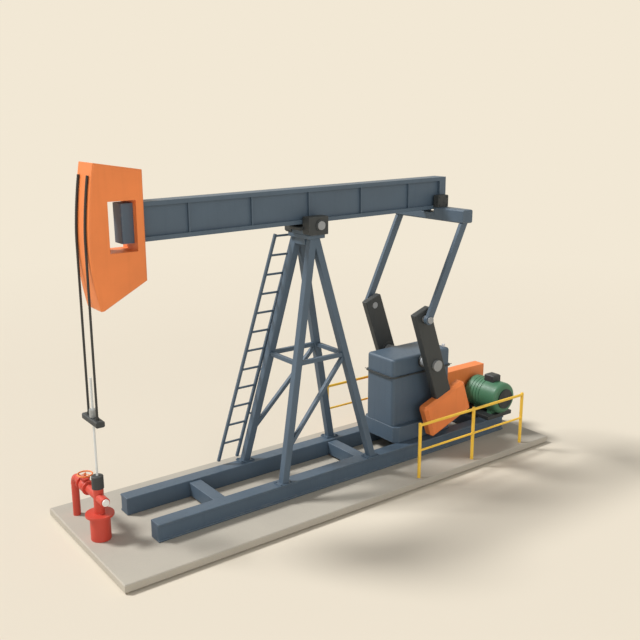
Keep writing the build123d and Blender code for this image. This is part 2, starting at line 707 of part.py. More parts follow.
def casing_head():
    pipe = upright(WELL_X, 0, PAD_TOP, PAD_TOP + CASING_HEIGHT, CASING_RADIUS)
    flange = upright(WELL_X, 0, PAD_TOP + CASING_HEIGHT, CASING_TOP, CASING_FLANGE_RADIUS)
    return pipe + flange - well_bore()


def pumping_tee():
    """The upright tee on the casing head: a plugged near branch and a long far one."""
    barrel = upright(WELL_X, 0, CASING_TOP, TEE_TOP, TEE_RADIUS)
    far_end = VALVE_CENTRE_FROM_WELL - VALVE_FACE_TO_FACE / 2
    near_end = -TEE_RADIUS - TEE_NEAR_BRANCH_LENGTH
    branch = crosswise(WELL_X, BRANCH_Z, near_end, far_end, TEE_BRANCH_RADIUS)
    plug = crosswise(WELL_X, BRANCH_Z, near_end - PLUG_LENGTH, near_end, PLUG_RADIUS)
    return barrel + branch + plug - well_bore()


def stuffing_box():
    """The packing housing that the polished rod slides through."""
    top = PAD_TOP + STUFFING_TOP_ABOVE_PAD
    body = upright(WELL_X, 0, TEE_TOP, top, STUFFING_RADIUS)
    body = chamfer(body.faces().sort_by(Axis.Z)[-1].edges(), STUFFING_CHAMFER)
    bore = upright(WELL_X, 0, TEE_TOP - OVERRUN, top + OVERRUN, ROD_RADIUS + ROD_PACKING_CLEARANCE)
    return body - bore


def flow_valve():
    """A gate valve: one turned body with its two flanges, the bonnet and the stem."""
    half = VALVE_FACE_TO_FACE / 2
    neck = half - VALVE_FLANGE_THICKNESS
    near_side = [
        (0, -half), (VALVE_FLANGE_RADIUS, -half), (VALVE_FLANGE_RADIUS, -neck),
        (TEE_BRANCH_RADIUS, -neck), (VALVE_BODY_RADIUS, -VALVE_BODY_HALF_LENGTH),
    ]
    far_side = [(radius, -y) for radius, y in reversed(near_side)]
    turned = revolve(make_face(Polyline(*near_side, *far_side, close=True)), Axis.Y)
    y = VALVE_CENTRE_FROM_WELL
    body = Pos(WELL_X, y, BRANCH_Z) * turned
    bonnet_top = BRANCH_Z + VALVE_BONNET_TOP_ABOVE_BRANCH
    body = body + upright(WELL_X, y, BRANCH_Z, bonnet_top, VALVE_BONNET_RADIUS)
    stem_top = BRANCH_Z + HANDWHEEL_ABOVE_BRANCH + HANDWHEEL_HUB_HEIGHT / 2
    return body + upright(WELL_X, y, bonnet_top - OVERRUN, stem_top, VALVE_STEM_RADIUS)


def handwheel():
    """A rim on spokes, bored to turn on the valve's stem."""
    z = BRANCH_Z + HANDWHEEL_ABOVE_BRANCH
    place = Pos(WELL_X, VALVE_CENTRE_FROM_WELL, z)
    rim = Plane.XZ * Pos(HANDWHEEL_RADIUS, 0) * RegularPolygon(HANDWHEEL_RIM_RADIUS, HANDWHEEL_RIM_SIDES)
    wheel = revolve(rim, Axis.Z) + Cylinder(HANDWHEEL_HUB_RADIUS, HANDWHEEL_HUB_HEIGHT)
    start = HANDWHEEL_HUB_RADIUS - HANDWHEEL_SPOKE_RADIUS
    spoke = slanted((start, 0, 0), (HANDWHEEL_RADIUS, 0, 0),
                    RegularPolygon(HANDWHEEL_SPOKE_RADIUS, HANDWHEEL_SPOKE_SIDES), (0, 1, 0))
    for number in range(HANDWHEEL_SPOKE_COUNT):
        share = (number + HANDWHEEL_FIRST_SPOKE_SHARE) / HANDWHEEL_SPOKE_COUNT
        turn = Rot(0, 0, share * FULL_TURN_DEG)
        wheel = wheel + turn * spoke
    wheel = wheel - Cylinder(VALVE_STEM_RADIUS + RUNNING_CLEARANCE, HANDWHEEL_HUB_HEIGHT + OVERRUN)
    return place * wheel


def flow_line():
    """The pipe from the valve to the pad, with one bend."""
    start = (WELL_X, VALVE_CENTRE_FROM_WELL + VALVE_FACE_TO_FACE / 2, BRANCH_Z)
    corner = (WELL_X, FLOW_LINE_DROP_FROM_WELL, BRANCH_Z)
    foot = (WELL_X, FLOW_LINE_DROP_FROM_WELL, PAD_TOP)
    path = FilletPolyline(start, corner, foot, radius=FLOW_LINE_BEND_RADIUS)
    section = RegularPolygon(FLOW_LINE_RADIUS, FLOW_LINE_SIDES)
    return sweep(Plane(origin=start, z_dir=(0, 1, 0)) * section, path)


# Gear reducer

PEDESTAL_TOP = RAIL_TOP + PEDESTAL_HEIGHT
PARTING_Z = PAD_TOP + HOUSING_FLANGE_ABOVE_PAD
COVER_BOTTOM = PARTING_Z + PARTING_FLANGE_THICKNESS / 2
COVER_TOP = PARTING_Z + COVER_HEIGHT


def gearbox_pedestal():
    pedestal = block(
        (SHAFT_X - PEDESTAL_HALF_LENGTH, -PEDESTAL_HALF_WIDTH, RAIL_TOP),
        (SHAFT_X + PEDESTAL_HALF_LENGTH, PEDESTAL_HALF_WIDTH, PEDESTAL_TOP),
    )
    return chamfer(pedestal.edges().filter_by(Axis.Z), PEDESTAL_CHAMFER)


def rounded_case(half_length, half_width, low, high, radius):
    """A case with rounded upright corners, standing over the reducer's shaft."""
    base = Pos(SHAFT_X, 0, low) * RectangleRounded(2 * half_length, 2 * half_width, radius)
    return extrude(base, high - low)


def gearbox_housing():
    top = PARTING_Z - PARTING_FLANGE_THICKNESS / 2
    return rounded_case(HOUSING_HALF_LENGTH, HOUSING_HALF_WIDTH, PEDESTAL_TOP, top, HOUSING_CORNER_RADIUS)


def gearbox_flange():
    grow = PARTING_FLANGE_OVERHANG
    low = PARTING_Z - PARTING_FLANGE_THICKNESS / 2
    return rounded_case(HOUSING_HALF_LENGTH + grow, HOUSING_HALF_WIDTH + grow, low, COVER_BOTTOM,
                        HOUSING_CORNER_RADIUS + grow)


def gearbox_cover():
    cover = rounded_case(HOUSING_HALF_LENGTH, HOUSING_HALF_WIDTH, COVER_BOTTOM, COVER_TOP, HOUSING_CORNER_RADIUS)
    cover = fillet(cover.faces().sort_by(Axis.Z)[-1].outer_wire().edges(), COVER_TOP_ROUND)
    reach = HOUSING_HALF_WIDTH + OVERRUN
    return cover - crosswise(SHAFT_X, SHAFT_Z, -reach, reach, CRANK_SHAFT_RADIUS + RUNNING_CLEARANCE)


def shaft_seals():
    """The rings where the slow shaft leaves the cover, one each side."""
    bore = crosswise(SHAFT_X, SHAFT_Z, 0, BEARING_CAP_OUTER + OVERRUN, CRANK_SHAFT_RADIUS + RUNNING_CLEARANCE)
    ring = crosswise(SHAFT_X, SHAFT_Z, HOUSING_HALF_WIDTH, BEARING_CAP_OUTER, BEARING_CAP_RADIUS) - bore
    return [ring, mirrored_y(ring)]


def breather():
    x = SHAFT_X + HOUSING_HALF_LENGTH - BREATHER_FROM_COVER_END
    y = BREATHER_FROM_COVER_SIDE - HOUSING_HALF_WIDTH
    return upright(x, y, COVER_TOP, COVER_TOP + BREATHER_HEIGHT, BREATHER_RADIUS)


# Cranks, built upright about the shaft and then leaned towards the post

CRANK_PLACE = Pos(SHAFT_X, 0, SHAFT_Z) * Rot(0, -CRANK_LEAN_DEG, 0)
CRANK_OUTER = CRANK_INNER + CRANK_THICKNESS
PIN_X = SHAFT_X - CRANK_PIN_RADIUS_OF_TURN * sin(radians(CRANK_LEAN_DEG))
PIN_Z = SHAFT_Z + CRANK_PIN_RADIUS_OF_TURN * cos(radians(CRANK_LEAN_DEG))


def crank_shaft():
    reach = CRANK_OUTER + CRANK_SHAFT_PROUD
    return crosswise(SHAFT_X, SHAFT_Z, -reach, reach, CRANK_SHAFT_RADIUS)


def crank_pin(side):
    inner = side * CRANK_INNER
    outer = side * (PITMAN_INNER - CRANK_PIN_GAP)
    return crosswise(PIN_X, PIN_Z, min(inner, outer), max(inner, outer), CRANK_PIN_RADIUS)


def crank(side):
    """One crank arm with its hub boss, bored for the shaft and the crank pin."""
    arm = block(
        (-CRANK_HALF_WIDTH, CRANK_INNER, -CRANK_LOWER_END_BELOW_SHAFT),
        (CRANK_HALF_WIDTH, CRANK_OUTER, CRANK_PIN_RADIUS_OF_TURN + CRANK_END_BEYOND_PIN),
    )
    arm = chamfer(arm.edges(), CRANK_CHAMFER)
    boss = crosswise(0, 0, CRANK_INNER - CRANK_HUB_PROUD, CRANK_OUTER, CRANK_HUB_RADIUS)
    arm = CRANK_PLACE * (arm + boss)
    arm = arm - crank_shaft() - crank_pin(1)
    return arm if side > 0 else mirrored_y(arm)


def counterweight(side, arm):
    """A cast block that grips the crank's lower end."""
    weight = block(
        (-WEIGHT_HALF_WIDTH, WEIGHT_OUTER - WEIGHT_THICKNESS, -WEIGHT_BOTTOM_BELOW_SHAFT),
        (WEIGHT_HALF_WIDTH, WEIGHT_OUTER, -WEIGHT_TOP_BELOW_SHAFT),
    )
    weight = chamfer(weight.edges(), WEIGHT_CHAMFER)
    weight = CRANK_PLACE * weight
    if side < 0:
        weight = mirrored_y(weight)
    return weight - arm


# Equalizer and pitmans

EQUALIZER_X = TAIL_X - EQUALIZER_AHEAD
EQUALIZER_TOP = TAIL_Z - EQUALIZER_BELOW_PIVOT
EQUALIZER_BOTTOM = EQUALIZER_TOP - EQUALIZER_DEPTH
PITMAN_OUTER = PITMAN_INNER + PITMAN_THICKNESS


def equalizer():
    """The cross beam under the walking beam's tail, relieved where the beam's flange passes."""
    beam = block(
        (EQUALIZER_X - EQUALIZER_WIDTH / 2, -EQUALIZER_HALF_LENGTH, EQUALIZER_BOTTOM),
        (EQUALIZER_X + EQUALIZER_WIDTH / 2, EQUALIZER_HALF_LENGTH, EQUALIZER_TOP),
    )
    beam = chamfer(beam.edges(), EQUALIZER_CHAMFER)
    relief = block(
        (EQUALIZER_X - EQUALIZER_WIDTH, -EQUALIZER_RELIEF_HALF_WIDTH, EQUALIZER_TOP - EQUALIZER_RELIEF_DEPTH),
        (EQUALIZER_X + EQUALIZER_WIDTH, EQUALIZER_RELIEF_HALF_WIDTH, EQUALIZER_TOP + OVERRUN),
    )
    return beam - relief


def tail_bearings():
    """Two pillow blocks on the equalizer that turn on the tail shaft."""
    bearings = []
    for side in SIDES:
        body = block(
            (EQUALIZER_X - EQUALIZER_WIDTH / 2, TAIL_BLOCK_INNER, EQUALIZER_TOP),
            (EQUALIZER_X + EQUALIZER_WIDTH / 2, TAIL_BLOCK_OUTER, TAIL_Z + TAIL_BLOCK_HEIGHT / 2),
        )
        body = chamfer(body.faces().sort_by(Axis.Z)[-1].edges().filter_by(Axis.Y), TAIL_BLOCK_CHAMFER)
        bore_radius = TAIL_SHAFT_RADIUS + RUNNING_CLEARANCE
        body = body - crosswise(TAIL_X, TAIL_Z, 0, TAIL_BLOCK_OUTER + OVERRUN, bore_radius)
        bearings.append(body if side > 0 else mirrored_y(body))
    return bearings


def wrist_pin(side):
    inner = side * PITMAN_INNER
    outer = side * (PITMAN_OUTER + WRIST_PIN_PROUD)
    return crosswise(PIN_X, PIN_Z, min(inner, outer), max(inner, outer), CRANK_PIN_RADIUS)


def pitman(side):
    """A flat-sided arm from the equalizer's end down to its wrist-pin eye."""
    middle = side * (PITMAN_INNER + PITMAN_THICKNESS / 2)
    top = (TAIL_X - PITMAN_TOP_AHEAD, middle, EQUALIZER_BOTTOM)
    low = (PIN_X, middle, PIN_Z)
    section = RectangleRounded(PITMAN_WIDTH, PITMAN_THICKNESS, PITMAN_CORNER_RADIUS)
    run = Vector(*low) - Vector(*top)
    start = Vector(*top) - run.normalized() * PITMAN_WIDTH
    arm = slanted(tuple(start), low, section, (1, 0, 0))
    arm = arm & block(
        (-PAD_LENGTH, -PAD_LENGTH, 0),
        (PAD_LENGTH, PAD_LENGTH, EQUALIZER_BOTTOM),
    )
    inner = side * PITMAN_INNER
    outer = side * PITMAN_OUTER
    eye = crosswise(PIN_X, PIN_Z, min(inner, outer), max(inner, outer), WRIST_BEARING_RADIUS)
    return arm + eye - wrist_pin(side)


# Motor and belt guard

MOTOR_PLATE_REAR = from_pad_end(RAIL_FROM_PAD_END) + RAIL_LENGTH + MOTOR_PLATE_BEYOND_RAIL
MOTOR_PLATE_FRONT = MOTOR_PLATE_REAR - MOTOR_PLATE_LENGTH
MOTOR_X = MOTOR_PLATE_FRONT + MOTOR_AXIS_FROM_PLATE_FRONT
MOTOR_PLATE_TOP = RAIL_TOP + MOTOR_PLATE_THICKNESS
MOTOR_Z = MOTOR_PLATE_TOP + MOTOR_AXIS_ABOVE_PLATE
MOTOR_MIDDLE_Y = (MOTOR_NEAR_END + MOTOR_FAR_END) / 2


def motor_base_plate():
    return block(
        (MOTOR_PLATE_FRONT, -MOTOR_PLATE_HALF_WIDTH, RAIL_TOP),
        (MOTOR_PLATE_REAR, MOTOR_PLATE_HALF_WIDTH, MOTOR_PLATE_TOP),
    )


def motor_body():
    """The ribbed frame with tapered end bells, turned as one, lying along Y on two cast feet."""
    length = MOTOR_FAR_END - MOTOR_NEAR_END
    bell = MOTOR_BELL_TAPER
    end_radius = MOTOR_RADIUS - bell
    floor = MOTOR_RADIUS - MOTOR_GROOVE_DEPTH
    step = (length - 2 * bell) / (MOTOR_RIB_COUNT + 1)
    profile = [(0, 0), (end_radius, 0), (MOTOR_RADIUS, bell)]
    for number in range(MOTOR_RIB_COUNT):
        low = bell + (number + 1) * step - MOTOR_GROOVE_WIDTH / 2
        high = low + MOTOR_GROOVE_WIDTH
        profile += [(MOTOR_RADIUS, low), (floor, low), (floor, high), (MOTOR_RADIUS, high)]
    profile += [(MOTOR_RADIUS, length - bell), (end_radius, length), (0, length)]
    body = revolve(make_face(Polyline(*profile, close=True)), Axis.Y)
    body = Pos(MOTOR_X, MOTOR_NEAR_END, MOTOR_Z) * body
    for side in SIDES:
        y = MOTOR_MIDDLE_Y + side * MOTOR_FOOT_HALF_SPAN
        body = body + block(
            (MOTOR_X - MOTOR_FOOT_HALF_SPAN, y - MOTOR_FOOT_WIDTH / 2, MOTOR_PLATE_TOP),
            (MOTOR_X + MOTOR_FOOT_HALF_SPAN, y + MOTOR_FOOT_WIDTH / 2, MOTOR_Z - MOTOR_RADIUS / 2),
        )
    return body


def motor_fan_disc():
    outer = MOTOR_NEAR_END - MOTOR_FAN_DISC_DEPTH
    return crosswise(MOTOR_X, MOTOR_Z, outer, MOTOR_NEAR_END, MOTOR_FAN_DISC_RADIUS)


def motor_shaft():
    return crosswise(MOTOR_X, MOTOR_Z, MOTOR_FAR_END, GUARD_NEAR, MOTOR_SHAFT_RADIUS)


def terminal_box(body):
    top = MOTOR_Z + MOTOR_RADIUS + TERMINAL_BOX_HEIGHT
    y = MOTOR_MIDDLE_Y - TERMINAL_BOX_FROM_MIDDLE
    box = block(
        (MOTOR_X - TERMINAL_BOX_LENGTH / 2, y - TERMINAL_BOX_WIDTH / 2, MOTOR_Z),
        (MOTOR_X + TERMINAL_BOX_LENGTH / 2, y + TERMINAL_BOX_WIDTH / 2, top),
    )
    box = chamfer(box.faces().sort_by(Axis.Z)[-1].outer_wire().edges(), TERMINAL_BOX_CHAMFER)
    return (box - body).solids().sort_by(Axis.Z)[-1]


def belt_guard():
    guard = block(
        (SHAFT_X + HOUSING_HALF_LENGTH, GUARD_NEAR, MOTOR_PLATE_TOP),
        (MOTOR_X + GUARD_REAR_BEYOND_MOTOR, GUARD_NEAR + GUARD_THICKNESS, PAD_TOP + GUARD_TOP_ABOVE_PAD),
    )
    guard = chamfer(guard.faces().sort_by(Axis.X)[-1].edges(), GUARD_CORNER_CHAMFER)
    return guard - gearbox_pedestal()


# Hand rails

def post_x(number):
    return from_pad_end(RAIL_FIRST_POST_FROM_PAD_END + number * RAIL_POST_SPACING)


def rail_line(side):
    return side * (PAD_WIDTH / 2 - RAIL_LINE_FROM_PAD_EDGE)


def guard_posts(side):
    section = RegularPolygon(RAIL_POST_RADIUS, HAND_RAIL_SIDES)
    return [extrude(Pos(post_x(number), rail_line(side), PAD_TOP) * section, RAIL_POST_HEIGHT)
            for number in range(RAIL_POST_COUNT)]


def guard_bars(side):
    """Top and middle bars, coped to the posts that they are welded to."""
    y = rail_line(side)
    posts = guard_posts(side)
    rows = [(RAIL_TOP_ABOVE_PAD, RAIL_TOP_BAR_RADIUS), (RAIL_MID_ABOVE_PAD, RAIL_MID_BAR_RADIUS)]
    bars = []
    for number in range(len(posts) - 1):
        for height, radius in rows:
            start = (post_x(number), y, PAD_TOP + height)
            end = (post_x(number + 1), y, PAD_TOP + height)
            bar = slanted(start, end, RegularPolygon(radius, HAND_RAIL_SIDES), (0, 1, 0))
            bars.append(bar - posts[number] - posts[number + 1])
    return bars


def build():
    """Every node's name with its solids."""
    nodes = {}
    nodes["concrete_pad"] = [concrete_pad()]
    nodes["skid_rails"] = [skid_rail(side) for side in SIDES]
    nodes["skid_cross_members"] = skid_cross_members()

    legs = samson_legs()
    nodes["samson_legs_front"] = [legs[(True, side)] for side in SIDES]
    nodes["samson_legs_rear"] = [legs[(False, side)] for side in SIDES]
    ring = samson_ring(legs)
    nodes["samson_ring"] = ring
    nodes["samson_diagonals"] = samson_diagonals(legs, ring)
    nodes["samson_top_plate"] = [samson_top_plate()]
    nodes["saddle_bearings"] = [saddle_housing()]
    climb = ladder()
    nodes["ladder"] = [climb]
    nodes["ladder_brackets"] = ladder_brackets(legs, climb)

    nodes["walking_beam"] = [walking_beam([saddle_shaft(), tail_shaft()])]
    nodes["saddle_hub"] = [saddle_hub(saddle_shaft())]
    nodes["saddle_shaft"] = [saddle_shaft()]
    nodes["tail_shaft"] = [tail_shaft()]
    nodes["horsehead"] = [horsehead(beam_envelope())]
    nodes["bridle_wrap"] = bridle_wrap()

    nodes["bridle_drop"] = bridle_drop()
    nodes["polished_rod"] = [polished_rod()]
    nodes["rod_clamp"] = [rod_clamp()]
    nodes["carrier_bar"] = [carrier_bar()]

    nodes["casing_head"] = [casing_head()]
    nodes["pumping_tee"] = [pumping_tee()]
    nodes["stuffing_box"] = [stuffing_box()]
    nodes["flow_valve"] = [flow_valve()]
    nodes["valve_handwheel"] = [handwheel()]
    nodes["flow_line"] = [flow_line()]

    nodes["gearbox_pedestal"] = [gearbox_pedestal()]
    nodes["gearbox_housing"] = [gearbox_housing()]
    nodes["gearbox_flange"] = [gearbox_flange()]
    nodes["gearbox_cover"] = [gearbox_cover()]
    nodes["shaft_seals"] = shaft_seals()
    nodes["breather"] = [breather()]

    nodes["crank_shaft"] = [crank_shaft()]
    nodes["crank_pins"] = [crank_pin(side) for side in SIDES]
    for side, place in zip(SIDES, ("near", "far")):
        arm = crank(side)
        nodes["crank_" + place] = [arm]
        nodes["counterweight_" + place] = [counterweight(side, arm)]
        nodes["pitman_" + place] = [pitman(side)]
    nodes["equalizer"] = [equalizer()]
    nodes["tail_bearings"] = tail_bearings()
    nodes["wrist_pins"] = [wrist_pin(side) for side in SIDES]

    motor = motor_body()
    nodes["motor_base_plate"] = [motor_base_plate()]
    nodes["motor_body"] = [motor]
    nodes["motor_fan_disc"] = [motor_fan_disc()]
    nodes["motor_shaft"] = [motor_shaft()]
    nodes["terminal_box"] = [terminal_box(motor)]
    nodes["belt_guard"] = [belt_guard()]
    nodes["guard_posts"] = [post for side in SIDES for post in guard_posts(side)]
    nodes["guard_bars"] = [bar for side in SIDES for bar in guard_bars(side)]
    return nodes


os.makedirs("parts", exist_ok=True)
for name, pieces in build().items():
    solids = [solid for piece in pieces for solid in piece.solids()]
    shape = solids[0] if len(solids) == 1 else Compound(children=solids)
    export_step(shape, "parts/" + name + ".step")
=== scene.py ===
import json
from math import copysign, cos, pi, radians, sin

import bmesh
import bpy
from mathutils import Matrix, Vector

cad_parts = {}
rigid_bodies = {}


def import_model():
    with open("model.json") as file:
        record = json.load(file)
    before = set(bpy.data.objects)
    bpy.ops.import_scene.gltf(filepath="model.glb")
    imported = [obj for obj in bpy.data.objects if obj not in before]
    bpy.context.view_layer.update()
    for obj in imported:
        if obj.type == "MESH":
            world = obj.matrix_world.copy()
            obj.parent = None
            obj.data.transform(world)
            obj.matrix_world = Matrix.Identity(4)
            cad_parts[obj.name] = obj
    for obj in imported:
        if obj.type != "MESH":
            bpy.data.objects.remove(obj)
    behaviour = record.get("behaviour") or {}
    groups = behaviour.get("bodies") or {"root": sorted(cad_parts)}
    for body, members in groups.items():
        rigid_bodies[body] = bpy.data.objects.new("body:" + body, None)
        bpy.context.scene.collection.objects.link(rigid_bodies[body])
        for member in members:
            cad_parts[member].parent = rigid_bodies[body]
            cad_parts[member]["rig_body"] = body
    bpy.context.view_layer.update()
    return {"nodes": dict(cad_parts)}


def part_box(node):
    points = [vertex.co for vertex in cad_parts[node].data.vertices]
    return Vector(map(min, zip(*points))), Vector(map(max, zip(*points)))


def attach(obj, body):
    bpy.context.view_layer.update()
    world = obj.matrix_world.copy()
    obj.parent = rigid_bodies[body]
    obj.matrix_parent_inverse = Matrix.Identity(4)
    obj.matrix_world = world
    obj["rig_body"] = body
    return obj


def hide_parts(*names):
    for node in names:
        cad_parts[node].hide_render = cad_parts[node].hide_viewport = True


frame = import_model()
scene = bpy.context.scene
scene.view_settings.view_transform = "Standard"


# Camera: stands off the wellhead end on the near side, a little above the walking beam, and
# looks down along the unit through a fairly long lens.

CAMERA_PLACE = (-9.3196, -12.2168, 7.0195)
CAMERA_TURN = radians(-37.10)
CAMERA_TILT = radians(90 - 14.03)
CAMERA_LENS_MM = 47.08
SENSOR_MM = 36.0

camera_data = bpy.data.cameras.new("camera")
camera_data.lens = CAMERA_LENS_MM
camera_data.sensor_width = SENSOR_MM
camera_data.clip_end = 400.0
camera = bpy.data.objects.new("camera", camera_data)
camera.location = CAMERA_PLACE
camera.rotation_euler = (CAMERA_TILT, 0.0, CAMERA_TURN)
scene.collection.objects.link(camera)
scene.camera = camera


# Studio: a plain cream floor that fades into a cream surround. The key lamp shines from beyond
# the well on the far side, a weaker and broader lamp fills in from the near side, and white
# light comes from all round.

CREAM = (0.888, 0.807, 0.665)
FLOOR_CREAM = (0.740, 0.668, 0.549)
SKY_WHITE = (1.0, 1.0, 1.0)
FLOOR_RADIUS = 150.0
FLOOR_SIDES = 96
FADE_START = 11.0
FADE_LENGTH = 16.0
SKY_STRENGTH = 0.34
KEY_FROM = (-3.25, 3.2, 5.3)
KEY_STRENGTH = 3.1
KEY_ANGLE = radians(13)
FILL_FROM = (-2.6, -7.0, 1.8)
FILL_STRENGTH = 0.95
FILL_ANGLE = radians(50)


class Socket:
    """One shader output. Python's operators on it add Math nodes."""

    def __init__(self, tree, output):
        self.tree = tree
        self.output = output

    def node(self, kind, settings=None, inputs=None, output=0):
        """Adds any node: its type, its settings, then the values or links of its sockets."""
        made = self.tree.nodes.new("ShaderNode" + kind)
        for name, value in (settings or {}).items():
            setattr(made, name, value)
        for name, value in (inputs or {}).items():
            if isinstance(name, int):
                target = made.inputs[name]
            else:
                target = next(s for s in made.inputs if s.name == name and s.enabled)
            if isinstance(value, Socket):
                self.tree.links.new(value.output, target)
            elif target.type == "RGBA" and len(value) == 3:
                target.default_value = (*value, 1.0)
            else:
                target.default_value = value
        if isinstance(output, int):
            return Socket(self.tree, made.outputs[output])
        return Socket(self.tree, next(s for s in made.outputs if s.name == output and s.enabled))

    def math(self, operation, first, second):
        """One Math node on two numbers or sockets."""
        return self.node("Math", {"operation": operation}, {0: first, 1: second})

    def __add__(self, other):
        return self.math("ADD", self, other)

    def __radd__(self, other):
        return self.math("ADD", other, self)

    def __rsub__(self, other):
        return self.math("SUBTRACT", other, self)

    def __mul__(self, other):
        return self.math("MULTIPLY", self, other)

    def __rmul__(self, other):
        return self.math("MULTIPLY", other, self)

    def rise(self, low, high):
        """0 below low, 1 above high, and straight between."""
        span = {"Value": self, "From Min": low, "From Max": high}
        return self.node("MapRange", {"clamp": True}, span)

    def noise(self, scale, detail=3.0, roughness=0.5):
        """Fractal noise over this vector, from 0 to 1."""
        return self.node("TexNoise", {"noise_dimensions": "3D"},
                         {"Vector": self, "Scale": scale, "Detail": detail, "Roughness": roughness})

    def stretched(self, factors):
        """This vector with each axis multiplied by its own factor."""
        return self.node("VectorMath", {"operation": "MULTIPLY"}, {0: self, 1: factors})

    def between(self, low, high):
        """A colour that goes from low to high as this value goes from 0 to 1."""
        ends = {"Factor": self, "A": low, "B": high}
        return self.node("Mix", {"data_type": "RGBA"}, ends, "Result")


def new_tree(holder):
    """Empties the node tree of a material or world and gives a Socket to start from."""
    holder.use_nodes = True
    holder.node_tree.nodes.clear()
    return Socket(holder.node_tree, None)


world = bpy.data.worlds.new("studio_surround")
scene.world = world
tree = new_tree(world)
rays = ["Is Camera Ray", "Is Glossy Ray", "Is Transmission Ray"]
seen = [tree.node("LightPath", output=ray) for ray in rays]
seen_directly = tree.math("MAXIMUM", tree.math("MAXIMUM", seen[0], seen[1]), seen[2])
strength = seen_directly * (1.0 - SKY_STRENGTH) + SKY_STRENGTH
hue = seen_directly.between(SKY_WHITE, CREAM)
surround = tree.node("Background", {}, {"Color": hue, "Strength": strength})
world_output = world.node_tree.nodes.new("ShaderNodeOutputWorld")
world.node_tree.links.new(surround.output, world_output.inputs["Surface"])

shape = bmesh.new()
bmesh.ops.create_circle(shape, cap_ends=True, radius=FLOOR_RADIUS, segments=FLOOR_SIDES)
mesh = bpy.data.meshes.new("studio_floor")
shape.to_mesh(mesh)
shape.free()
floor = bpy.data.objects.new("studio_floor", mesh)
scene.collection.objects.link(floor)
floor_material = bpy.data.materials.new("floor_cream")
tree = new_tree(floor_material)
place = tree.node("TexCoord", output="Object")
distance = tree.node("VectorMath", {"operation": "LENGTH"}, {0: place}, "Value")
far = distance.rise(FADE_START, FADE_START + FADE_LENGTH)
paint = tree.node("BsdfDiffuse", {}, {"Color": FLOOR_CREAM})
glow = tree.node("Emission", {}, {"Color": CREAM, "Strength": 1.0})
covered = tree.node("MixShader", {}, {0: far, 1: paint, 2: glow})
floor_output = floor_material.node_tree.nodes.new("ShaderNodeOutputMaterial")
floor_material.node_tree.links.new(covered.output, floor_output.inputs["Surface"])
mesh.materials.append(floor_material)

for name, origin, power, angle in (
    ("key_lamp", KEY_FROM, KEY_STRENGTH, KEY_ANGLE),
    ("fill_lamp", FILL_FROM, FILL_STRENGTH, FILL_ANGLE),
):
    lamp_data = bpy.data.lights.new(name, "SUN")
    lamp_data.energy = power
    lamp_data.angle = angle
    lamp = bpy.data.objects.new(name, lamp_data)
    lamp.rotation_euler = Vector(origin).to_track_quat("Z", "Y").to_euler()
    scene.collection.objects.link(lamp)


# Concrete pad: one slab cast in a timber form on a narrower foot, which shows as a dark line
# under its edge. The concrete is dusty and a little mottled, with fine pores that are painted
# darker as painted shade inside them.

PAD_EASE = 0.006
FOOT_INSET = 0.060
FOOT_HEIGHT = 0.026
CONCRETE = (0.49, 0.45, 0.375)
CONCRETE_DAMP = (0.44, 0.405, 0.34)
CONCRETE_DUST = (0.58, 0.53, 0.45)
# Painted shade for the insides of the pores.
PORE_PAINTED_SHADE = (0.24, 0.22, 0.19)
MERGE_DISTANCE = 1e-5
FLAT_WITHIN = radians(0.5)
SHARP_EDGE = radians(22)
SMOOTH_BELOW = radians(38)


def finished(tree, colour, roughness, height, depth, metallic=0.0):
    """Ends a material: colour, roughness and bump height into one principled shader."""
    bump = tree.node("Bump", {}, {"Height": height, "Distance": depth})
    shader = tree.node("BsdfPrincipled", {}, {"Base Color": colour, "Roughness": roughness,
                                              "Metallic": metallic, "Normal": bump})
    end = tree.tree.nodes.new("ShaderNodeOutputMaterial")
    tree.tree.links.new(shader.output, end.inputs["Surface"])


def shown(name, shape, material, body, slot, *nodes):
    """Makes a bmesh into a shaded piece that rides on a body and stands for any CAD nodes named."""
    bmesh.ops.remove_doubles(shape, verts=shape.verts, dist=MERGE_DISTANCE)
    bmesh.ops.recalc_face_normals(shape, faces=shape.faces)
    mesh = bpy.data.meshes.new(name)
    shape.to_mesh(mesh)
    shape.free()
    mesh.shade_smooth()
    mesh.set_sharp_from_angle(angle=SMOOTH_BELOW)
    mesh.materials.append(material)
    piece = bpy.data.objects.new(name, mesh)
    scene.collection.objects.link(piece)
    weighted = piece.modifiers.new("even_normals", "WEIGHTED_NORMAL")
    weighted.keep_sharp = True
    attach(piece, body)
    if nodes:
        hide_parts(*nodes)


def block(shape, low, high):
    """Adds a rectangular block between two corners."""
    made = bmesh.ops.create_cube(shape, size=1.0)["verts"]
    middle = (Vector(low) + Vector(high)) / 2
    size = Vector(high) - Vector(low)
    bmesh.ops.scale(shape, vec=size, verts=made)
    bmesh.ops.translate(shape, vec=middle, verts=made)


def ease(shape, radius, segments=2, chosen=None):
    """Rounds a shape's sharp edges, or only the chosen ones, and marks the new faces as worn."""
    worn = shape.faces.layers.float.get("edge_wear") or shape.faces.layers.float.new("edge_wear")
    edges = [edge for edge in shape.edges
             if len(edge.link_faces) == 2 and edge.calc_face_angle() > SHARP_EDGE]
    if chosen:
        edges = [edge for edge in edges if chosen(edge)]
    cut = bmesh.ops.bevel(shape, geom=edges, offset=radius, offset_type="OFFSET", affect="EDGES",
                          segments=segments, profile=0.5, material=-1, clamp_overlap=True)
    for face in cut["faces"]:
        face[worn] = 1.0


def copied(node):
    """A CAD piece's own shape, merged and freed of needless edges."""
    shape = bmesh.new()
    shape.from_mesh(frame["nodes"][node].data)
    bmesh.ops.remove_doubles(shape, verts=shape.verts, dist=MERGE_DISTANCE)
    bmesh.ops.dissolve_limit(shape, angle_limit=FLAT_WITHIN, verts=shape.verts, edges=shape.edges)
    return shape


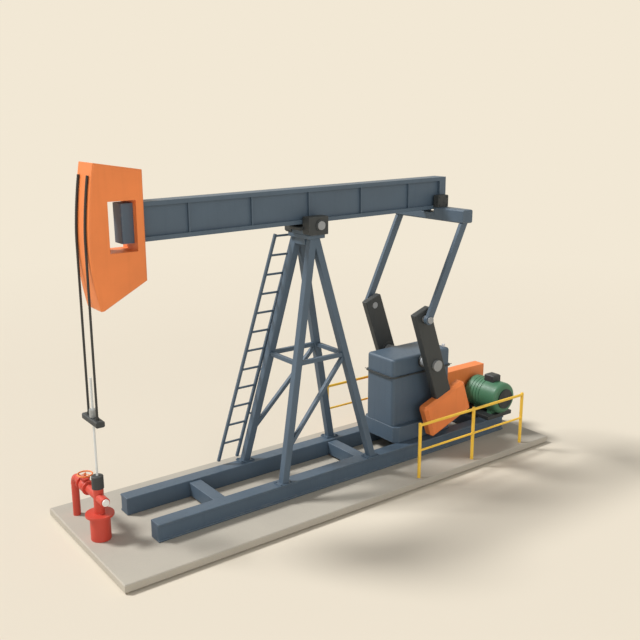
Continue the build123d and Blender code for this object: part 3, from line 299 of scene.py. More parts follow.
def eased(node, material, slot, radius, segments=2, corners=None, corner_radius=0.0, plump=0.0):
    """Shows a copy of a CAD piece with its sharp edges rounded. Chosen corners get a larger radius,
    and plump moves the whole surface outwards."""
    shape = copied(node)
    if corners:
        ease(shape, corner_radius, segments=4, chosen=corners)
    ease(shape, radius, segments)
    shape.normal_update()
    for vert in shape.verts:
        vert.co += plump * vert.normal
    shown(node + "_finished", shape, material, frame["nodes"][node]["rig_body"], slot, node)


concrete = bpy.data.materials.new("floated_concrete")
tree = new_tree(concrete)
place = tree.node("TexCoord", output="Object")
blotches = place.noise(0.8, detail=4.0, roughness=0.6).rise(0.35, 0.7)
sand = place.noise(45.0, detail=2.0, roughness=0.6)
specks = place.node("TexVoronoi", {"feature": "F1"}, {"Vector": place, "Scale": 38.0})
pores = specks.rise(0.05, 0.14)
colour = blotches.between(CONCRETE_DAMP, CONCRETE)
colour = (0.22 * sand.rise(0.3, 0.75)).between(colour, CONCRETE_DUST)
# The pores are painted darker, as painted shade inside the pits.
colour = (0.35 * (1.0 - pores)).between(colour, PORE_PAINTED_SHADE)
finished(tree, colour, roughness=0.80 + 0.12 * sand, height=0.6 * sand + 0.9 * pores, depth=0.002)

pad_high = Vector(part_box("concrete_pad")[1])
foot = copied("concrete_pad")
for vert in foot.verts:
    vert.co.z = min(vert.co.z, FOOT_HEIGHT)
    if abs(vert.co.y) > pad_high.y - FOOT_INSET:
        vert.co.x -= copysign(FOOT_INSET, vert.co.x)
        vert.co.y -= copysign(FOOT_INSET, vert.co.y)
foot_mesh = bpy.data.meshes.new("pad_foot")
foot.to_mesh(foot_mesh)
foot.free()
pad = copied("concrete_pad")
for vert in pad.verts:
    vert.co.z = max(vert.co.z, FOOT_HEIGHT)
ease(pad, PAD_EASE)
pad.from_mesh(foot_mesh)
bpy.data.meshes.remove(foot_mesh)
shown("concrete_pad_finished", pad, concrete, "frame", "concrete", "concrete_pad")


# Skid: two channel rails with box cross members, welded up and brush painted in blue-grey
# enamel. Paint lies a little uneven on the plates and has rubbed thin along the edges. A weld
# bead runs up each side of the cross members where they meet the rails.

STEEL_BLUE = (0.074, 0.112, 0.156)
PRIMER = (0.17, 0.19, 0.20)
WELD_RADIUS = 0.008
MEMBER_WIDTH = 0.235
MIDDLE_MEMBER_X = 0.576
STRAND_GROOVE = 0.16


def enamel(name, colour, worn_colour, gloss=0.42, wear=0.35):
    """Brushed-on enamel over steel: faint patches, rain streaks and rubbed edges."""
    material = bpy.data.materials.new(name)
    tree = new_tree(material)
    place = tree.node("TexCoord", output="Object")
    patches = place.noise(1.3, detail=4.0, roughness=0.55)
    streaks = place.stretched((7.0, 7.0, 0.5)).noise(1.6, detail=3.0, roughness=0.6).rise(0.52, 0.75)
    skin = place.noise(240.0, detail=1.0)
    ripple = place.noise(18.0, detail=2.0)
    lighter = tuple(1.06 * c for c in colour)
    darker = tuple(0.93 * c for c in colour)
    shade = patches.rise(0.3, 0.7).between(darker, lighter)
    shade = (0.12 * streaks).between(shade, tuple(0.62 * c for c in colour))
    edge = tree.node("Attribute", {"attribute_type": "GEOMETRY", "attribute_name": "edge_wear"},
                     output="Fac")
    rubbed = edge * place.noise(9.0, detail=5.0, roughness=0.7).rise(0.50, 0.62) * wear
    shade = rubbed.between(shade, worn_colour)
    roughness = gloss + 0.14 * patches + 0.10 * streaks + 0.08 * rubbed
    finished(tree, shade, roughness, height=0.12 * skin + 0.5 * ripple, depth=0.0006)
    return material


def swept(shape, centres, across, radius, sides, strands=0, turns=0.0):
    """Adds a round bar along a line of points, or a rope of strands laid with so many turns. The
    grooves between the strands are a share of the rope's radius deep."""
    last = len(centres) - 1
    rings = []
    for number, centre in enumerate(centres):
        along = (centres[min(number + 1, last)] - centres[max(number - 1, 0)]).normalized()
        up = across.cross(along)
        lay = 2 * pi * turns * number / last
        ring = []
        for side in range(sides):
            angle = 2 * pi * side / sides
            groove = STRAND_GROOVE * (1 - abs(cos(strands * (angle - lay) / 2))) if strands else 0.0
            reach = radius * (1 - groove)
            ring.append(shape.verts.new(centre + reach * (across * cos(angle) + up * sin(angle))))
        rings.append(ring)
    for ring, following in zip(rings, rings[1:]):
        for side in range(sides):
            other = (side + 1) % sides
            shape.faces.new((ring[side], ring[other], following[other], following[side]))
    shape.faces.new(rings[0])
    shape.faces.new(rings[-1])


blue_enamel = enamel("blue_grey_enamel", STEEL_BLUE, PRIMER)
eased("skid_rails", blue_enamel, "structure_blue", radius=0.014, segments=3)
eased("skid_cross_members", blue_enamel, "structure_blue", radius=0.012)

welds = bmesh.new()
members_low, members_high = (Vector(corner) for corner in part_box("skid_cross_members"))
rails_high = Vector(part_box("skid_rails")[1])
for x in (members_low.x + MEMBER_WIDTH / 2, MIDDLE_MEMBER_X, members_high.x - MEMBER_WIDTH / 2):
    for side_x in (-1, 1):
        for side_y in (-1, 1):
            edge_x = x + side_x * MEMBER_WIDTH / 2
            ends = [Vector((edge_x, side_y * members_high.y, z))
                    for z in (members_low.z, members_high.z)]
            swept(welds, ends, Vector((1, 0, 0)), WELD_RADIUS, sides=8)
shown("skid_welds", welds, blue_enamel, "frame", "structure_blue")


# Samson post: four square tubes on bolted foot plates, tied by a ring of struts and two braces
# and capped by a thick plate. A welded ladder with round rungs stands off the far front leg.

FOOT_PLATE = (0.290, 0.225, 0.020)
FEET_X = (-1.399, 0.661)
FEET_Y = (0.655, -0.655)
FOOT_BOLT_SIZE = 0.024
FOOT_BOLT_INSET = 0.030
BOLT_WASHER = [(0, 0), (1.1, 0), (1.1, 0.15), (0, 0.15)]
BOLT_HEAD = [(0, 0.15), (0.92, 0.15), (0.92, 0.70), (0.76, 0.80), (0, 0.80)]


def turned(shape, outline, centre, axis=(0, 0, 1), steps=48):
    """Adds a form turned about an axis, from pairs of radius and distance along the axis."""
    along = Vector(axis)
    out = along.orthogonal().normalized()
    verts = [shape.verts.new(Vector(centre) + out * radius + along * distance)
             for radius, distance in outline]
    edges = [shape.edges.new(pair) for pair in zip(verts, verts[1:])]
    bmesh.ops.spin(shape, geom=verts + edges, cent=centre, axis=axis, angle=2 * pi,
                   steps=steps, use_merge=True)
    bmesh.ops.remove_doubles(shape, verts=shape.verts, dist=MERGE_DISTANCE)


def bolt(shape, seat, axis, size):
    """Adds a round washer and a hexagon head on a seat. Size is the thread's diameter, and their
    outlines are in thread diameters."""
    for outline, steps in ((BOLT_WASHER, 24), (BOLT_HEAD, 6)):
        turned(shape, [(radius * size, rise * size) for radius, rise in outline], seat, axis, steps)


eased("samson_legs_front", blue_enamel, "structure_blue", radius=0.005)
eased("samson_legs_rear", blue_enamel, "structure_blue", radius=0.005)
eased("samson_ring", blue_enamel, "structure_blue", radius=0.006)
eased("samson_diagonals", blue_enamel, "structure_blue", radius=0.006)
eased("samson_top_plate", blue_enamel, "structure_blue", radius=0.010)
eased("ladder", blue_enamel, "structure_blue", radius=0.004, plump=0.006)
eased("ladder_brackets", blue_enamel, "structure_blue", radius=0.003)

bolts = bmesh.new()
for foot_x, foot_y in [(x, y) for y in FEET_Y for x in FEET_X]:
    for side_x in (-1, 1):
        for side_y in (-1, 1):
            x = foot_x + side_x * (FOOT_PLATE[0] / 2 - FOOT_BOLT_INSET)
            y = foot_y + side_y * (FOOT_PLATE[1] / 2 - FOOT_BOLT_INSET)
            bolt(bolts, (x, y, rails_high.z + FOOT_PLATE[2]), (0, 0, 1), FOOT_BOLT_SIZE)
shown("foot_bolts", bolts, blue_enamel, "frame", "structure_blue")


# Saddle: a black bearing cheek at each side of the beam, bossed round the shaft's end and
# joined under the beam by a black block, all on a raised blue seat. A blue gusset fills the
# space between the leg tops under the seat.

MACHINE_BLACK = (0.035, 0.040, 0.042)
DULL_STEEL = (0.33, 0.345, 0.36)
CHEEK_INNER = 0.178
CHEEK_LAP = 0.02
CHEEK_EASE = 0.012
CHEEK_SET_BACK = 0.075
CHEEK_CUT = 0.035
BOSS_RADIUS = 0.112
BOSS_PROUD = 0.012
SEAT_RISE = 0.080
SEAT_EASE = 0.008
BLOCK_BELOW_PIVOT = 0.030
GUSSET_INSET = 0.05
GUSSET_HALF_WIDTH = 0.15
GUSSET_DEPTH = 0.12


def bare_steel(name, colour, roughness, metallic=1.0):
    """Turned steel: fine tool marks and a thin film of oil."""
    material = bpy.data.materials.new(name)
    tree = new_tree(material)
    place = tree.node("TexCoord", output="Object")
    film = place.noise(14.0, detail=3.0)
    marks = place.stretched((900.0, 60.0, 900.0)).noise(1.0, detail=2.0)
    shade = film.between(tuple(0.88 * c for c in colour), colour)
    finished(tree, shade, roughness + 0.12 * film, height=marks, depth=0.00002, metallic=metallic)
    return material


black_enamel = enamel("black_enamel", MACHINE_BLACK, (0.14, 0.14, 0.135), gloss=0.50, wear=0.4)
dull_steel = bare_steel("dull_steel", DULL_STEEL, roughness=0.45, metallic=0.25)

saddle_low, saddle_high = (Vector(corner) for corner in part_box("saddle_bearings"))
pivot = sum((Vector(corner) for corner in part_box("saddle_shaft")), Vector()) / 2
cheeks = bmesh.new()
front = saddle_low.x + CHEEK_SET_BACK
side_view = [(front, saddle_high.z), (front, saddle_low.z + CHEEK_CUT),
             (front + CHEEK_CUT, saddle_low.z), (saddle_high.x, saddle_low.z),
             (saddle_high.x, saddle_high.z)]
for side in (-1, 1):
    faces = [cheeks.faces.new([cheeks.verts.new((x, side * y, z)) for x, z in side_view])
             for y in (CHEEK_INNER, saddle_high.y)]
    bmesh.ops.bridge_loops(cheeks, edges=[edge for face in faces for edge in face.edges])
bmesh.ops.recalc_face_normals(cheeks, faces=cheeks.faces)
seat_top = saddle_low.z + SEAT_RISE
block(cheeks, (saddle_low.x, -CHEEK_INNER - CHEEK_LAP, seat_top),
      (saddle_high.x, CHEEK_INNER + CHEEK_LAP, pivot.z - BLOCK_BELOW_PIVOT))
ease(cheeks, CHEEK_EASE)
for side in (-1, 1):
    boss = [(0, 0), (BOSS_RADIUS, 0), (BOSS_RADIUS, BOSS_PROUD), (0, BOSS_PROUD)]
    turned(cheeks, boss, (pivot.x, side * saddle_high.y, pivot.z), (0, side, 0))
shown("saddle_bearings_finished", cheeks, black_enamel, "frame", "machine_black", "saddle_bearings")

seat = bmesh.new()
plate_low, plate_high = (Vector(corner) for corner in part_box("samson_top_plate"))
block(seat, (plate_low.x, plate_low.y, plate_high.z),
      (plate_high.x, plate_high.y, plate_high.z + SEAT_RISE))
ease(seat, SEAT_EASE)
block(seat, (plate_low.x + GUSSET_INSET, -GUSSET_HALF_WIDTH, plate_low.z - GUSSET_DEPTH),
      (plate_high.x - GUSSET_INSET, GUSSET_HALF_WIDTH, plate_low.z))
shown("saddle_seat", seat, blue_enamel, "frame", "structure_blue")

eased("saddle_hub", black_enamel, "machine_black", radius=0.006)
eased("saddle_shaft", dull_steel, "bright_steel", radius=0.006)
eased("tail_shaft", black_enamel, "machine_black", radius=0.003)


# Walking beam: a deep section boxed in between its flanges, with welded stiffeners, a thick
# end at the tail and a nose with well-rounded corners, in the same enamel as the post.

NOSE_ROUND = 0.036
NOSE_REACH = 0.05
NOSE_LEAST_HEIGHT = 0.3

beam_low = Vector(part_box("walking_beam")[0])


def nose_corner(edge):
    """Whether an edge is one of the upright corners at the beam's nose."""
    first, second = (vert.co for vert in edge.verts)
    at_nose = max(first.x, second.x) < beam_low.x + NOSE_REACH
    return at_nose and abs(first.z - second.z) > NOSE_LEAST_HEIGHT


eased("walking_beam", blue_enamel, "beam_blue", radius=0.010, corners=nose_corner,
      corner_radius=NOSE_ROUND)


# Horsehead: plated over ribs and ground smooth, orange, with the upper part of the two bridle
# ropes lying on its curved face. Each rope has six strands.

ORANGE = (0.86, 0.240, 0.060)
ROPE_RADIUS = 0.020
ROPE_SPREAD = 0.173
ROPE_SIDES = 36
ROPE_STRANDS = 6
ROPE_OUT = 4.265
FACE_RADIUS = 4.244
UPPER_FACE_RADIUS = 8.330
UPPER_FURTHER = UPPER_FACE_RADIUS - FACE_RADIUS
EASING = radians(4.0)
ROPE_TOP = radians(9.2)
LOWER_STEPS = 28
UPPER_STEPS = 72
WRAP_TURNS = 4.05
ACROSS_Y = Vector((0, 1, 0))

orange_enamel = enamel("orange_enamel", ORANGE, (0.50, 0.17, 0.06), gloss=0.40, wear=0.25)
eased("horsehead", orange_enamel, "safety_orange", radius=0.014, segments=3)


def rope_point(angle, y):
    """The rope's centre where the head's face looks an angle above level. Above the easing angle
    the face runs on a larger arc that leaves the first one without a kink."""
    further = UPPER_FURTHER if angle > EASING else 0.0
    centre_x = pivot.x + further * cos(EASING)
    centre_z = pivot.z - further * sin(EASING)
    radius = ROPE_OUT + further
    return Vector((centre_x - radius * cos(angle), y, centre_z + radius * sin(angle)))


rope_black = bare_steel("greased_rope", (0.045, 0.047, 0.045), roughness=0.50, metallic=0.4)
wrap = bmesh.new()
for side in (-1, 1):
    y = side * ROPE_SPREAD
    lower = [rope_point(EASING * step / LOWER_STEPS, y) for step in range(LOWER_STEPS)]
    upper = [rope_point(EASING + (ROPE_TOP - EASING) * step / UPPER_STEPS, y)
             for step in range(UPPER_STEPS + 1)]
    swept(wrap, lower + upper, ACROSS_Y, ROPE_RADIUS, ROPE_SIDES, ROPE_STRANDS, WRAP_TURNS)
shown("bridle_wrap_finished", wrap, rope_black, "walking_beam", "wire_rope", "bridle_wrap")


# Rod string: the bridle ropes hang straight down from the head, each into a socket on a forged
# carrier bar. The bar lifts the polished rod by a bolted clamp that sits on top of it.

ROPE_LAY = 0.26
STEPS_PER_TURN = 24
SOCKET = [(0, 0), (0.029, 0), (0.029, 0.02), (0.024, 0.045), (0.021, 0.05), (0, 0.05)]
CLAMP_RADIUS = 0.058
CLAMP_EASE = 0.007
CLAMP_BOLT_SIZE = 0.012
CLAMP_BOLT_OUT = 0.030
CLAMP_BOLT_FORWARD = 0.050
CLAMP_BOLT_SHARES = (0.3, 0.7)

drop = bmesh.new()
drop_low, drop_high = (Vector(corner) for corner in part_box("bridle_drop"))
well = (drop_low + drop_high) / 2
hang = drop_high.z - drop_low.z
turns = hang / ROPE_LAY
rings = round(turns * STEPS_PER_TURN)
for side in (-1, 1):
    y = side * ROPE_SPREAD
    centres = [Vector((well.x, y, drop_low.z + hang * step / rings)) for step in range(rings + 1)]
    swept(drop, centres, ACROSS_Y, ROPE_RADIUS, ROPE_SIDES, ROPE_STRANDS, turns)
    turned(drop, SOCKET, (well.x, y, drop_low.z), steps=24)
shown("bridle_drop_finished", drop, rope_black, "polished_rod_string", "wire_rope", "bridle_drop")

eased("carrier_bar", black_enamel, "machine_black", radius=0.008)

clamp_low, clamp_high = (Vector(corner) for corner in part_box("rod_clamp"))
clamp = bmesh.new()
height = clamp_high.z - clamp_low.z
turned(clamp, [(0, 0), (CLAMP_RADIUS, 0), (CLAMP_RADIUS, height), (0, height)],
       (well.x, 0, clamp_low.z))
ease(clamp, CLAMP_EASE)
for share in CLAMP_BOLT_SHARES:
    for side in (-1, 1):
        bolt_seat = (well.x + side * CLAMP_BOLT_OUT, -CLAMP_BOLT_FORWARD,
                     clamp_low.z + share * height)
        bolt(clamp, bolt_seat, (0, -1, 0), CLAMP_BOLT_SIZE)
bright_clamp = bare_steel("clamp_steel", (0.42, 0.44, 0.44), roughness=0.40, metallic=0.5)
shown("rod_clamp_finished", clamp, bright_clamp, "polished_rod_string", "bright_steel", "rod_clamp")

# The rod's pale colour is partly the steel's own and partly a painted reflection of the cream
# surround, given with little metal in the finish.
rod_finish_painted_reflection = bare_steel("polished_rod_painted_reflection", (0.76, 0.79, 0.78), roughness=0.38, metallic=0.1)
eased("polished_rod", rod_finish_painted_reflection, "bright_steel", radius=0.004)


# Wellhead: casing head, tee, gate valve and flow line in red enamel, a bright plug in the near
# branch, a black stuffing box that the polished rod slides through, and an orange hand wheel.

RED = (0.60, 0.062, 0.036)
CASING_PIPE = 0.168
CASING_FLANGE = 0.042
TEE_BARREL = 0.086
TEE_BRANCH = 0.078
BRANCH_HEIGHT = 0.898
BRANCH_GAP = 0.006
WELL_CLEARANCE = 0.030
PACKING_CLEARANCE = 0.001
BOX_EASE = 0.014
PLUG_RADIUS = 0.060
PLUG_DEPTH = 0.024
BEAD_HALF_WIDTH = 0.008
BEAD_HEIGHT = 0.004
VALVE_FLANGE_RADIUS = 0.122
VALVE_FLANGE = 0.034
VALVE_SWELL = [(0.092, -0.085), (0.108, -0.060), (0.114, -0.030)]
BONNET = [(0.066, 0), (0.066, 0.118), (0.080, 0.118), (0.080, 0.138), (0.040, 0.150),
          (0.026, 0.165), (0, 0.165)]
STEM_RADIUS = 0.014
STEM_TIP_RADIUS = 0.010
STEM_FOOT = 0.1
RIM_RADIUS = 0.013
RIM_SIDES = 14
WHEEL_HUB = [(0.0175, -0.015), (0.024, -0.015), (0.024, 0.012), (0.0175, 0.015)]
SPOKES = 3
SPOKE_RADIUS = 0.006
SPOKE_START = 0.022
FLOW_RADIUS = 0.066
FLOW_BEND = 0.150
BEND_STEPS = 14

red_enamel = enamel("red_enamel", RED, (0.30, 0.07, 0.05), gloss=0.38, wear=0.3)


def bead(shape, centre, axis, radius):
    """Adds a weld bead round a pipe."""
    outline = [(radius, -BEAD_HALF_WIDTH), (radius + BEAD_HEIGHT, 0), (radius, BEAD_HALF_WIDTH)]
    turned(shape, outline, centre, axis)


casing_low, casing_high = (Vector(corner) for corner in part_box("casing_head"))
flange = casing_high.x - well.x
rod_low, rod_high = (Vector(corner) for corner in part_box("polished_rod"))
rod_radius = (rod_high.x - rod_low.x) / 2
bore = rod_radius + WELL_CLEARANCE
floor_z = casing_low.z
flange_low = casing_high.z - CASING_FLANGE - floor_z
head_top = casing_high.z - floor_z
casing = bmesh.new()
turned(casing, [(bore, 0), (CASING_PIPE, 0), (CASING_PIPE, flange_low), (flange, flange_low),
                (flange, head_top), (bore, head_top), (bore, 0)], (well.x, 0, floor_z), steps=72)
ease(casing, radius=0.007)
bead(casing, (well.x, 0, floor_z + flange_low - BEAD_HEIGHT), (0, 0, 1), CASING_PIPE)
shown("casing_head_finished", casing, red_enamel, "frame", "wellhead_red", "casing_head")

tee_low, tee_high = (Vector(corner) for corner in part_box("pumping_tee"))
tee = bmesh.new()
tall = tee_high.z - tee_low.z
turned(tee, [(bore, 0), (TEE_BARREL, 0), (TEE_BARREL, tall), (bore, tall), (bore, 0)],
       (well.x, 0, tee_low.z))
for start, end in ((tee_low.y + PLUG_DEPTH, -bore - BRANCH_GAP), (bore + BRANCH_GAP, tee_high.y)):
    turned(tee, [(0, 0), (TEE_BRANCH, 0), (TEE_BRANCH, end - start), (0, end - start)],
           (well.x, start, BRANCH_HEIGHT), (0, 1, 0))
ease(tee, radius=0.006)
bead(tee, (well.x, 0, tee_low.z + BEAD_HEIGHT), (0, 0, 1), TEE_BARREL)
shown("pumping_tee_finished", tee, red_enamel, "frame", "wellhead_red", "pumping_tee")

plug = bmesh.new()
turned(plug, [(0, 0), (PLUG_RADIUS, 0), (PLUG_RADIUS, PLUG_DEPTH), (0, PLUG_DEPTH)],
       (well.x, tee_low.y, BRANCH_HEIGHT), (0, 1, 0))
ease(plug, radius=0.005)
plug_steel = bare_steel("plated_plug", (0.90, 0.89, 0.86), roughness=0.35, metallic=0.1)
shown("tee_plug", plug, plug_steel, "frame", "bright_steel")

box_low, box_high = (Vector(corner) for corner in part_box("stuffing_box"))
round_out = box_high.x - well.x
tall = box_high.z - box_low.z
hole = rod_radius + PACKING_CLEARANCE


def outer_top(edge):
    """Whether an edge is on the stuffing box's top rim, outside the rod's hole."""
    at_top = min(vert.co.z for vert in edge.verts) > box_high.z - BOX_EASE
    return at_top and (edge.verts[0].co.xy - well.xy).length > (hole + round_out) / 2


packing = bmesh.new()
turned(packing, [(hole, 0), (round_out, 0), (round_out, tall), (hole, tall), (hole, 0)],
       (well.x, 0, box_low.z))
ease(packing, BOX_EASE, segments=3, chosen=outer_top)
shown("stuffing_box_finished", packing, black_enamel, "frame", "machine_black", "stuffing_box")

valve_low, valve_high = (Vector(corner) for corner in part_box("flow_valve"))
valve_y = (valve_low.y + valve_high.y) / 2
half = (valve_high.y - valve_low.y) / 2
valve = bmesh.new()
body = [(0, -half), (VALVE_FLANGE_RADIUS, -half), (VALVE_FLANGE_RADIUS, VALVE_FLANGE - half),
        (TEE_BRANCH, VALVE_FLANGE - half)] + VALVE_SWELL
body += [(radius, -y) for radius, y in reversed(body)]
turned(valve, body, (well.x, valve_y, BRANCH_HEIGHT), (0, 1, 0))
turned(valve, BONNET, (well.x, valve_y, BRANCH_HEIGHT))
ease(valve, radius=0.005)
stem = valve_high.z - BRANCH_HEIGHT
turned(valve, [(STEM_RADIUS, STEM_FOOT), (STEM_RADIUS, stem - (STEM_RADIUS - STEM_TIP_RADIUS)),
               (STEM_TIP_RADIUS, stem), (0, stem)], (well.x, valve_y, BRANCH_HEIGHT), steps=20)
shown("flow_valve_finished", valve, red_enamel, "frame", "wellhead_red", "flow_valve")

wheel_low, wheel_high = (Vector(corner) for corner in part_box("valve_handwheel"))
hub = (wheel_low + wheel_high) / 2
rim_at = wheel_high.x - hub.x - RIM_RADIUS
wheel = bmesh.new()
rim_angles = [2 * pi * step / RIM_SIDES for step in range(RIM_SIDES + 1)]
section = [(rim_at + RIM_RADIUS * cos(angle), RIM_RADIUS * sin(angle)) for angle in rim_angles]
turned(wheel, section, hub, steps=64)
turned(wheel, WHEEL_HUB, hub, steps=32)
for number in range(SPOKES):
    angle = 2 * pi * (number + 0.5) / SPOKES
    ray = Vector((cos(angle), sin(angle), 0))
    ends = [hub + SPOKE_START * ray, hub + rim_at * ray]
    swept(wheel, ends, Vector((0, 0, 1)), SPOKE_RADIUS, sides=12)
shown("valve_handwheel_finished", wheel, orange_enamel, "handwheel", "safety_orange",
      "valve_handwheel")

flow_low, flow_high = (Vector(corner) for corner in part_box("flow_line"))
drop_y = flow_high.y - FLOW_RADIUS
flow = bmesh.new()
bend_centre = Vector((well.x, drop_y - FLOW_BEND, BRANCH_HEIGHT - FLOW_BEND))
bend_angles = [pi / 2 * step / BEND_STEPS for step in range(BEND_STEPS + 1)]
bend = [bend_centre + FLOW_BEND * Vector((0, sin(angle), cos(angle))) for angle in bend_angles]
run = [Vector((well.x, flow_low.y, BRANCH_HEIGHT))] + bend + [Vector((well.x, drop_y, flow_low.z))]
swept(flow, run, Vector((1, 0, 0)), FLOW_RADIUS, sides=40)
bead(flow, bend[0], (0, 1, 0), FLOW_RADIUS)
bead(flow, bend[-1], (0, 0, 1), FLOW_RADIUS)
shown("flow_line_finished", flow, red_enamel, "frame", "wellhead_red", "flow_line")


# Gear reducer: a cast case on a fabricated pedestal, split at a thin dark flange with small
# bolts all round, and a small breather on the cover.

FLANGE_BOLT_SIZE = 0.014
FLANGE_BOLTS_LONG = 9
FLANGE_BOLTS_WIDE = 6

eased("gearbox_pedestal", blue_enamel, "structure_blue", radius=0.014, segments=3)
eased("gearbox_housing", blue_enamel, "structure_blue", radius=0.008)
eased("gearbox_flange", black_enamel, "machine_black", radius=0.004)

parting_low, parting_high = (Vector(corner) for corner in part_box("gearbox_flange"))
cover_high = Vector(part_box("gearbox_cover")[1])
bolt_line = ((parting_high.x + cover_high.x) / 2, (parting_high.y + cover_high.y) / 2)
middle_x = (parting_high.x + parting_low.x) / 2
middle_y = (parting_high.y + parting_low.y) / 2
lid_bolts = bmesh.new()
for number in range(FLANGE_BOLTS_LONG):
    along = (2 * number / (FLANGE_BOLTS_LONG - 1) - 1) * (bolt_line[0] - middle_x)
    for side in (-1, 1):
        y = middle_y + side * (bolt_line[1] - middle_y)
        bolt(lid_bolts, (middle_x + along, y, parting_high.z), (0, 0, 1), FLANGE_BOLT_SIZE)
for number in range(1, FLANGE_BOLTS_WIDE - 1):
    across = (2 * number / (FLANGE_BOLTS_WIDE - 1) - 1) * (bolt_line[1] - middle_y)
    for side in (-1, 1):
        x = middle_x + side * (bolt_line[0] - middle_x)
        bolt(lid_bolts, (x, middle_y + across, parting_high.z), (0, 0, 1), FLANGE_BOLT_SIZE)
shown("gearbox_bolts", lid_bolts, black_enamel, "frame", "machine_black")


def dress(node, material):
    """Gives a CAD piece whose shape is right its finish."""
    materials = frame["nodes"][node].data.materials
    materials.clear()
    materials.append(material)


dress("gearbox_cover", blue_enamel)
eased("shaft_seals", black_enamel, "machine_black", radius=0.006)
eased("breather", bare_steel("breather_alloy", (0.62, 0.63, 0.66), roughness=0.42, metallic=0.5),
      "breather_grey", radius=0.010)


# Cranks and counterweights: a flame-cut arm keyed to each end of the slow shaft, with a cast
# orange weight round its lower end. The ends of the shaft and of the pins are bare steel.

for side in ("near", "far"):
    eased("crank_" + side, black_enamel, "machine_black", radius=0.012)
    eased("counterweight_" + side, orange_enamel, "safety_orange", radius=0.042)
eased("crank_shaft", dull_steel, "bright_steel", radius=0.006)
eased("crank_pins", dull_steel, "bright_steel", radius=0.005)


# Equalizer and pitmans: a cross beam under the bolted tail bearings, and a long arm down each
# side to the crank, with a bare steel pin at its lower end.

CAP_BOLT_INSET = 0.040
CAP_BOLT_SIZE = 0.018

eased("equalizer", blue_enamel, "beam_blue", radius=0.010)
eased("tail_bearings", black_enamel, "machine_black", radius=0.010)

tail_low, tail_high = (Vector(corner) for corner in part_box("tail_bearings"))
cap_bolts = bmesh.new()
for side in (-1, 1):
    for x in (tail_low.x + CAP_BOLT_INSET, tail_high.x - CAP_BOLT_INSET):
        for z in (tail_low.z + CAP_BOLT_INSET, tail_high.z - CAP_BOLT_INSET):
            bolt(cap_bolts, (x, side * tail_high.y, z), (0, side, 0), CAP_BOLT_SIZE)
shown("tail_bearing_bolts", cap_bolts, black_enamel, frame["nodes"]["tail_bearings"]["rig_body"],
      "machine_black")
for side in ("near", "far"):
    eased("pitman_" + side, blue_enamel, "beam_blue", radius=0.005)
eased("wrist_pins", dull_steel, "bright_steel", radius=0.006)


# Motor: a green shell with a rounded bell at each end and four grooves round its far half, a
# flat black fan guard with shallow rings, and a black terminal box, on a black base plate.

GREEN = (0.066, 0.200, 0.110)
BELL_ROUND = 0.085
BELL_STEPS = 7
GROOVES = 4
FIRST_GROOVE = 0.46
GROOVE_PITCH = 0.082
GROOVE_WIDTH = 0.014
GROOVE_DEPTH = 0.018
GROOVE_TAPER = 0.002
FOOT_SPREAD = 0.195
FOOT_HALF_WIDTH = 0.06
FAN_RINGS = 7
FAN_RING_SHARE = 0.55
FAN_FACE = 0.026
FAN_GROOVE_FLOOR = 0.023
FAN_HUB_RADIUS = 0.03
FAN_HUB_FACE = 0.028

green_enamel = enamel("green_enamel", GREEN, (0.10, 0.18, 0.12), gloss=0.38, wear=0.3)
motor_low, motor_high = (Vector(corner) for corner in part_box("motor_body"))
motor_x = (motor_low.x + motor_high.x) / 2
shell = (motor_high.x - motor_low.x) / 2
motor_z = motor_high.z - shell
long = motor_high.y - motor_low.y
bell_angles = [pi / 2 * step / BELL_STEPS for step in range(BELL_STEPS + 1)]
rounding = [(shell - BELL_ROUND + BELL_ROUND * sin(angle), BELL_ROUND - BELL_ROUND * cos(angle))
            for angle in bell_angles]
outline = [(0, 0)] + rounding
for number in range(GROOVES):
    low = FIRST_GROOVE + number * GROOVE_PITCH
    high = low + GROOVE_WIDTH
    outline += [(shell, low), (shell - GROOVE_DEPTH, low + GROOVE_TAPER)]
    outline += [(shell - GROOVE_DEPTH, high - GROOVE_TAPER), (shell, high)]
outline += [(radius, long - depth) for radius, depth in reversed(rounding)] + [(0, long)]
motor = bmesh.new()
turned(motor, outline, (motor_x, motor_low.y, motor_z), (0, 1, 0), steps=72)
for side in (-1, 1):
    foot_y = (motor_low.y + motor_high.y) / 2 + side * FOOT_SPREAD
    block(motor, (motor_x - FOOT_SPREAD, foot_y - FOOT_HALF_WIDTH, motor_low.z),
          (motor_x + FOOT_SPREAD, foot_y + FOOT_HALF_WIDTH, motor_z - shell / 2))
shown("motor_body_finished", motor, green_enamel, "frame", "motor_green", "motor_body")

fan_high = Vector(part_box("motor_fan_disc")[1])
fan = bmesh.new()
reach = fan_high.x - motor_x
ring_pitch = reach / (FAN_RINGS + 1)
outline = [(0, 0), (reach, 0)]
for number in range(FAN_RINGS):
    outer = reach - number * ring_pitch
    inner = outer - FAN_RING_SHARE * ring_pitch
    outline += [(outer, FAN_FACE), (inner, FAN_FACE)]
    outline += [(inner, FAN_GROOVE_FLOOR), (outer - ring_pitch, FAN_GROOVE_FLOOR)]
outline += [(FAN_HUB_RADIUS, FAN_HUB_FACE), (0, FAN_HUB_FACE)]
turned(fan, outline, (motor_x, fan_high.y, motor_z), (0, -1, 0), steps=56)
shown("motor_fan_disc_finished", fan, black_enamel, "frame", "machine_black", "motor_fan_disc")

dress("motor_shaft", dull_steel)
eased("terminal_box", black_enamel, "machine_black", radius=0.010)
eased("motor_base_plate", black_enamel, "machine_black", radius=0.010)


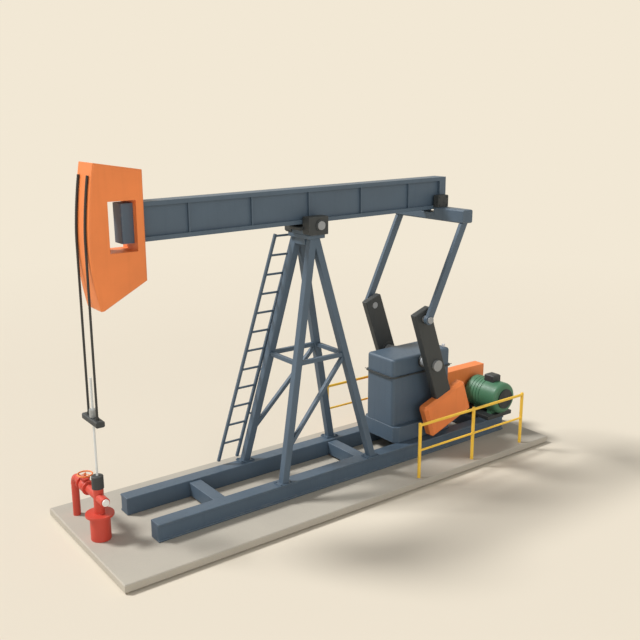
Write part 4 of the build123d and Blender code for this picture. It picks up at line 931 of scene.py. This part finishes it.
# Belt guard: a box folded from orange plate, with rounded edges, over the belts that run from
# the motor to the reducer.

eased("belt_guard", orange_enamel, "safety_orange", radius=0.020, segments=3)


# Guard rails: yellow tube posts with domed caps and two bars welded between them, along each side
# of the pad from ahead of the cranks to the motor.

YELLOW = (0.95, 0.590, 0.060)
POST_RADIUS = 0.033
TOP_BAR_RADIUS = 0.028
MID_BAR_RADIUS = 0.021
CAP_RISE = 0.014
CAP_STEPS = 5
BEAD_CLEARANCE = 0.002

yellow_enamel = enamel("yellow_enamel", YELLOW, (0.45, 0.30, 0.08), gloss=0.36, wear=0.3)
posts_low, posts_high = (Vector(corner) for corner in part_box("guard_posts"))
bars_low, bars_high = (Vector(corner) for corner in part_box("guard_bars"))
rail_y = (posts_high.y - posts_low.y) / 2 - POST_RADIUS
post_places = [posts_low.x + POST_RADIUS, (posts_low.x + posts_high.x) / 2,
               posts_high.x - POST_RADIUS]
tall = posts_high.z - posts_low.z
posts = bmesh.new()
bars = bmesh.new()
cap_angles = [pi / 2 * step / CAP_STEPS for step in range(CAP_STEPS + 1)]
cap = [(POST_RADIUS * cos(angle), tall - CAP_RISE + CAP_RISE * sin(angle)) for angle in cap_angles]
for side in (-1, 1):
    for x in post_places:
        turned(posts, [(0, 0), (POST_RADIUS, 0)] + cap, (x, side * rail_y, posts_low.z), steps=28)
    for height, radius in ((bars_high.z - TOP_BAR_RADIUS, TOP_BAR_RADIUS),
                           (bars_low.z + MID_BAR_RADIUS, MID_BAR_RADIUS)):
        ends = [Vector((x, side * rail_y, height)) for x in (post_places[0], post_places[-1])]
        swept(bars, ends, ACROSS_Y, radius, sides=28)
        for x in post_places:
            for way in (-1, 1):
                if post_places[0] < x + way * POST_RADIUS < post_places[-1]:
                    bead_x = x + way * (POST_RADIUS + BEAD_CLEARANCE)
                    bead(bars, (bead_x, side * rail_y, height), (1, 0, 0), radius)
shown("guard_posts_finished", posts, yellow_enamel, "frame", "rail_yellow", "guard_posts")
shown("guard_bars_finished", bars, yellow_enamel, "frame", "rail_yellow", "guard_bars")
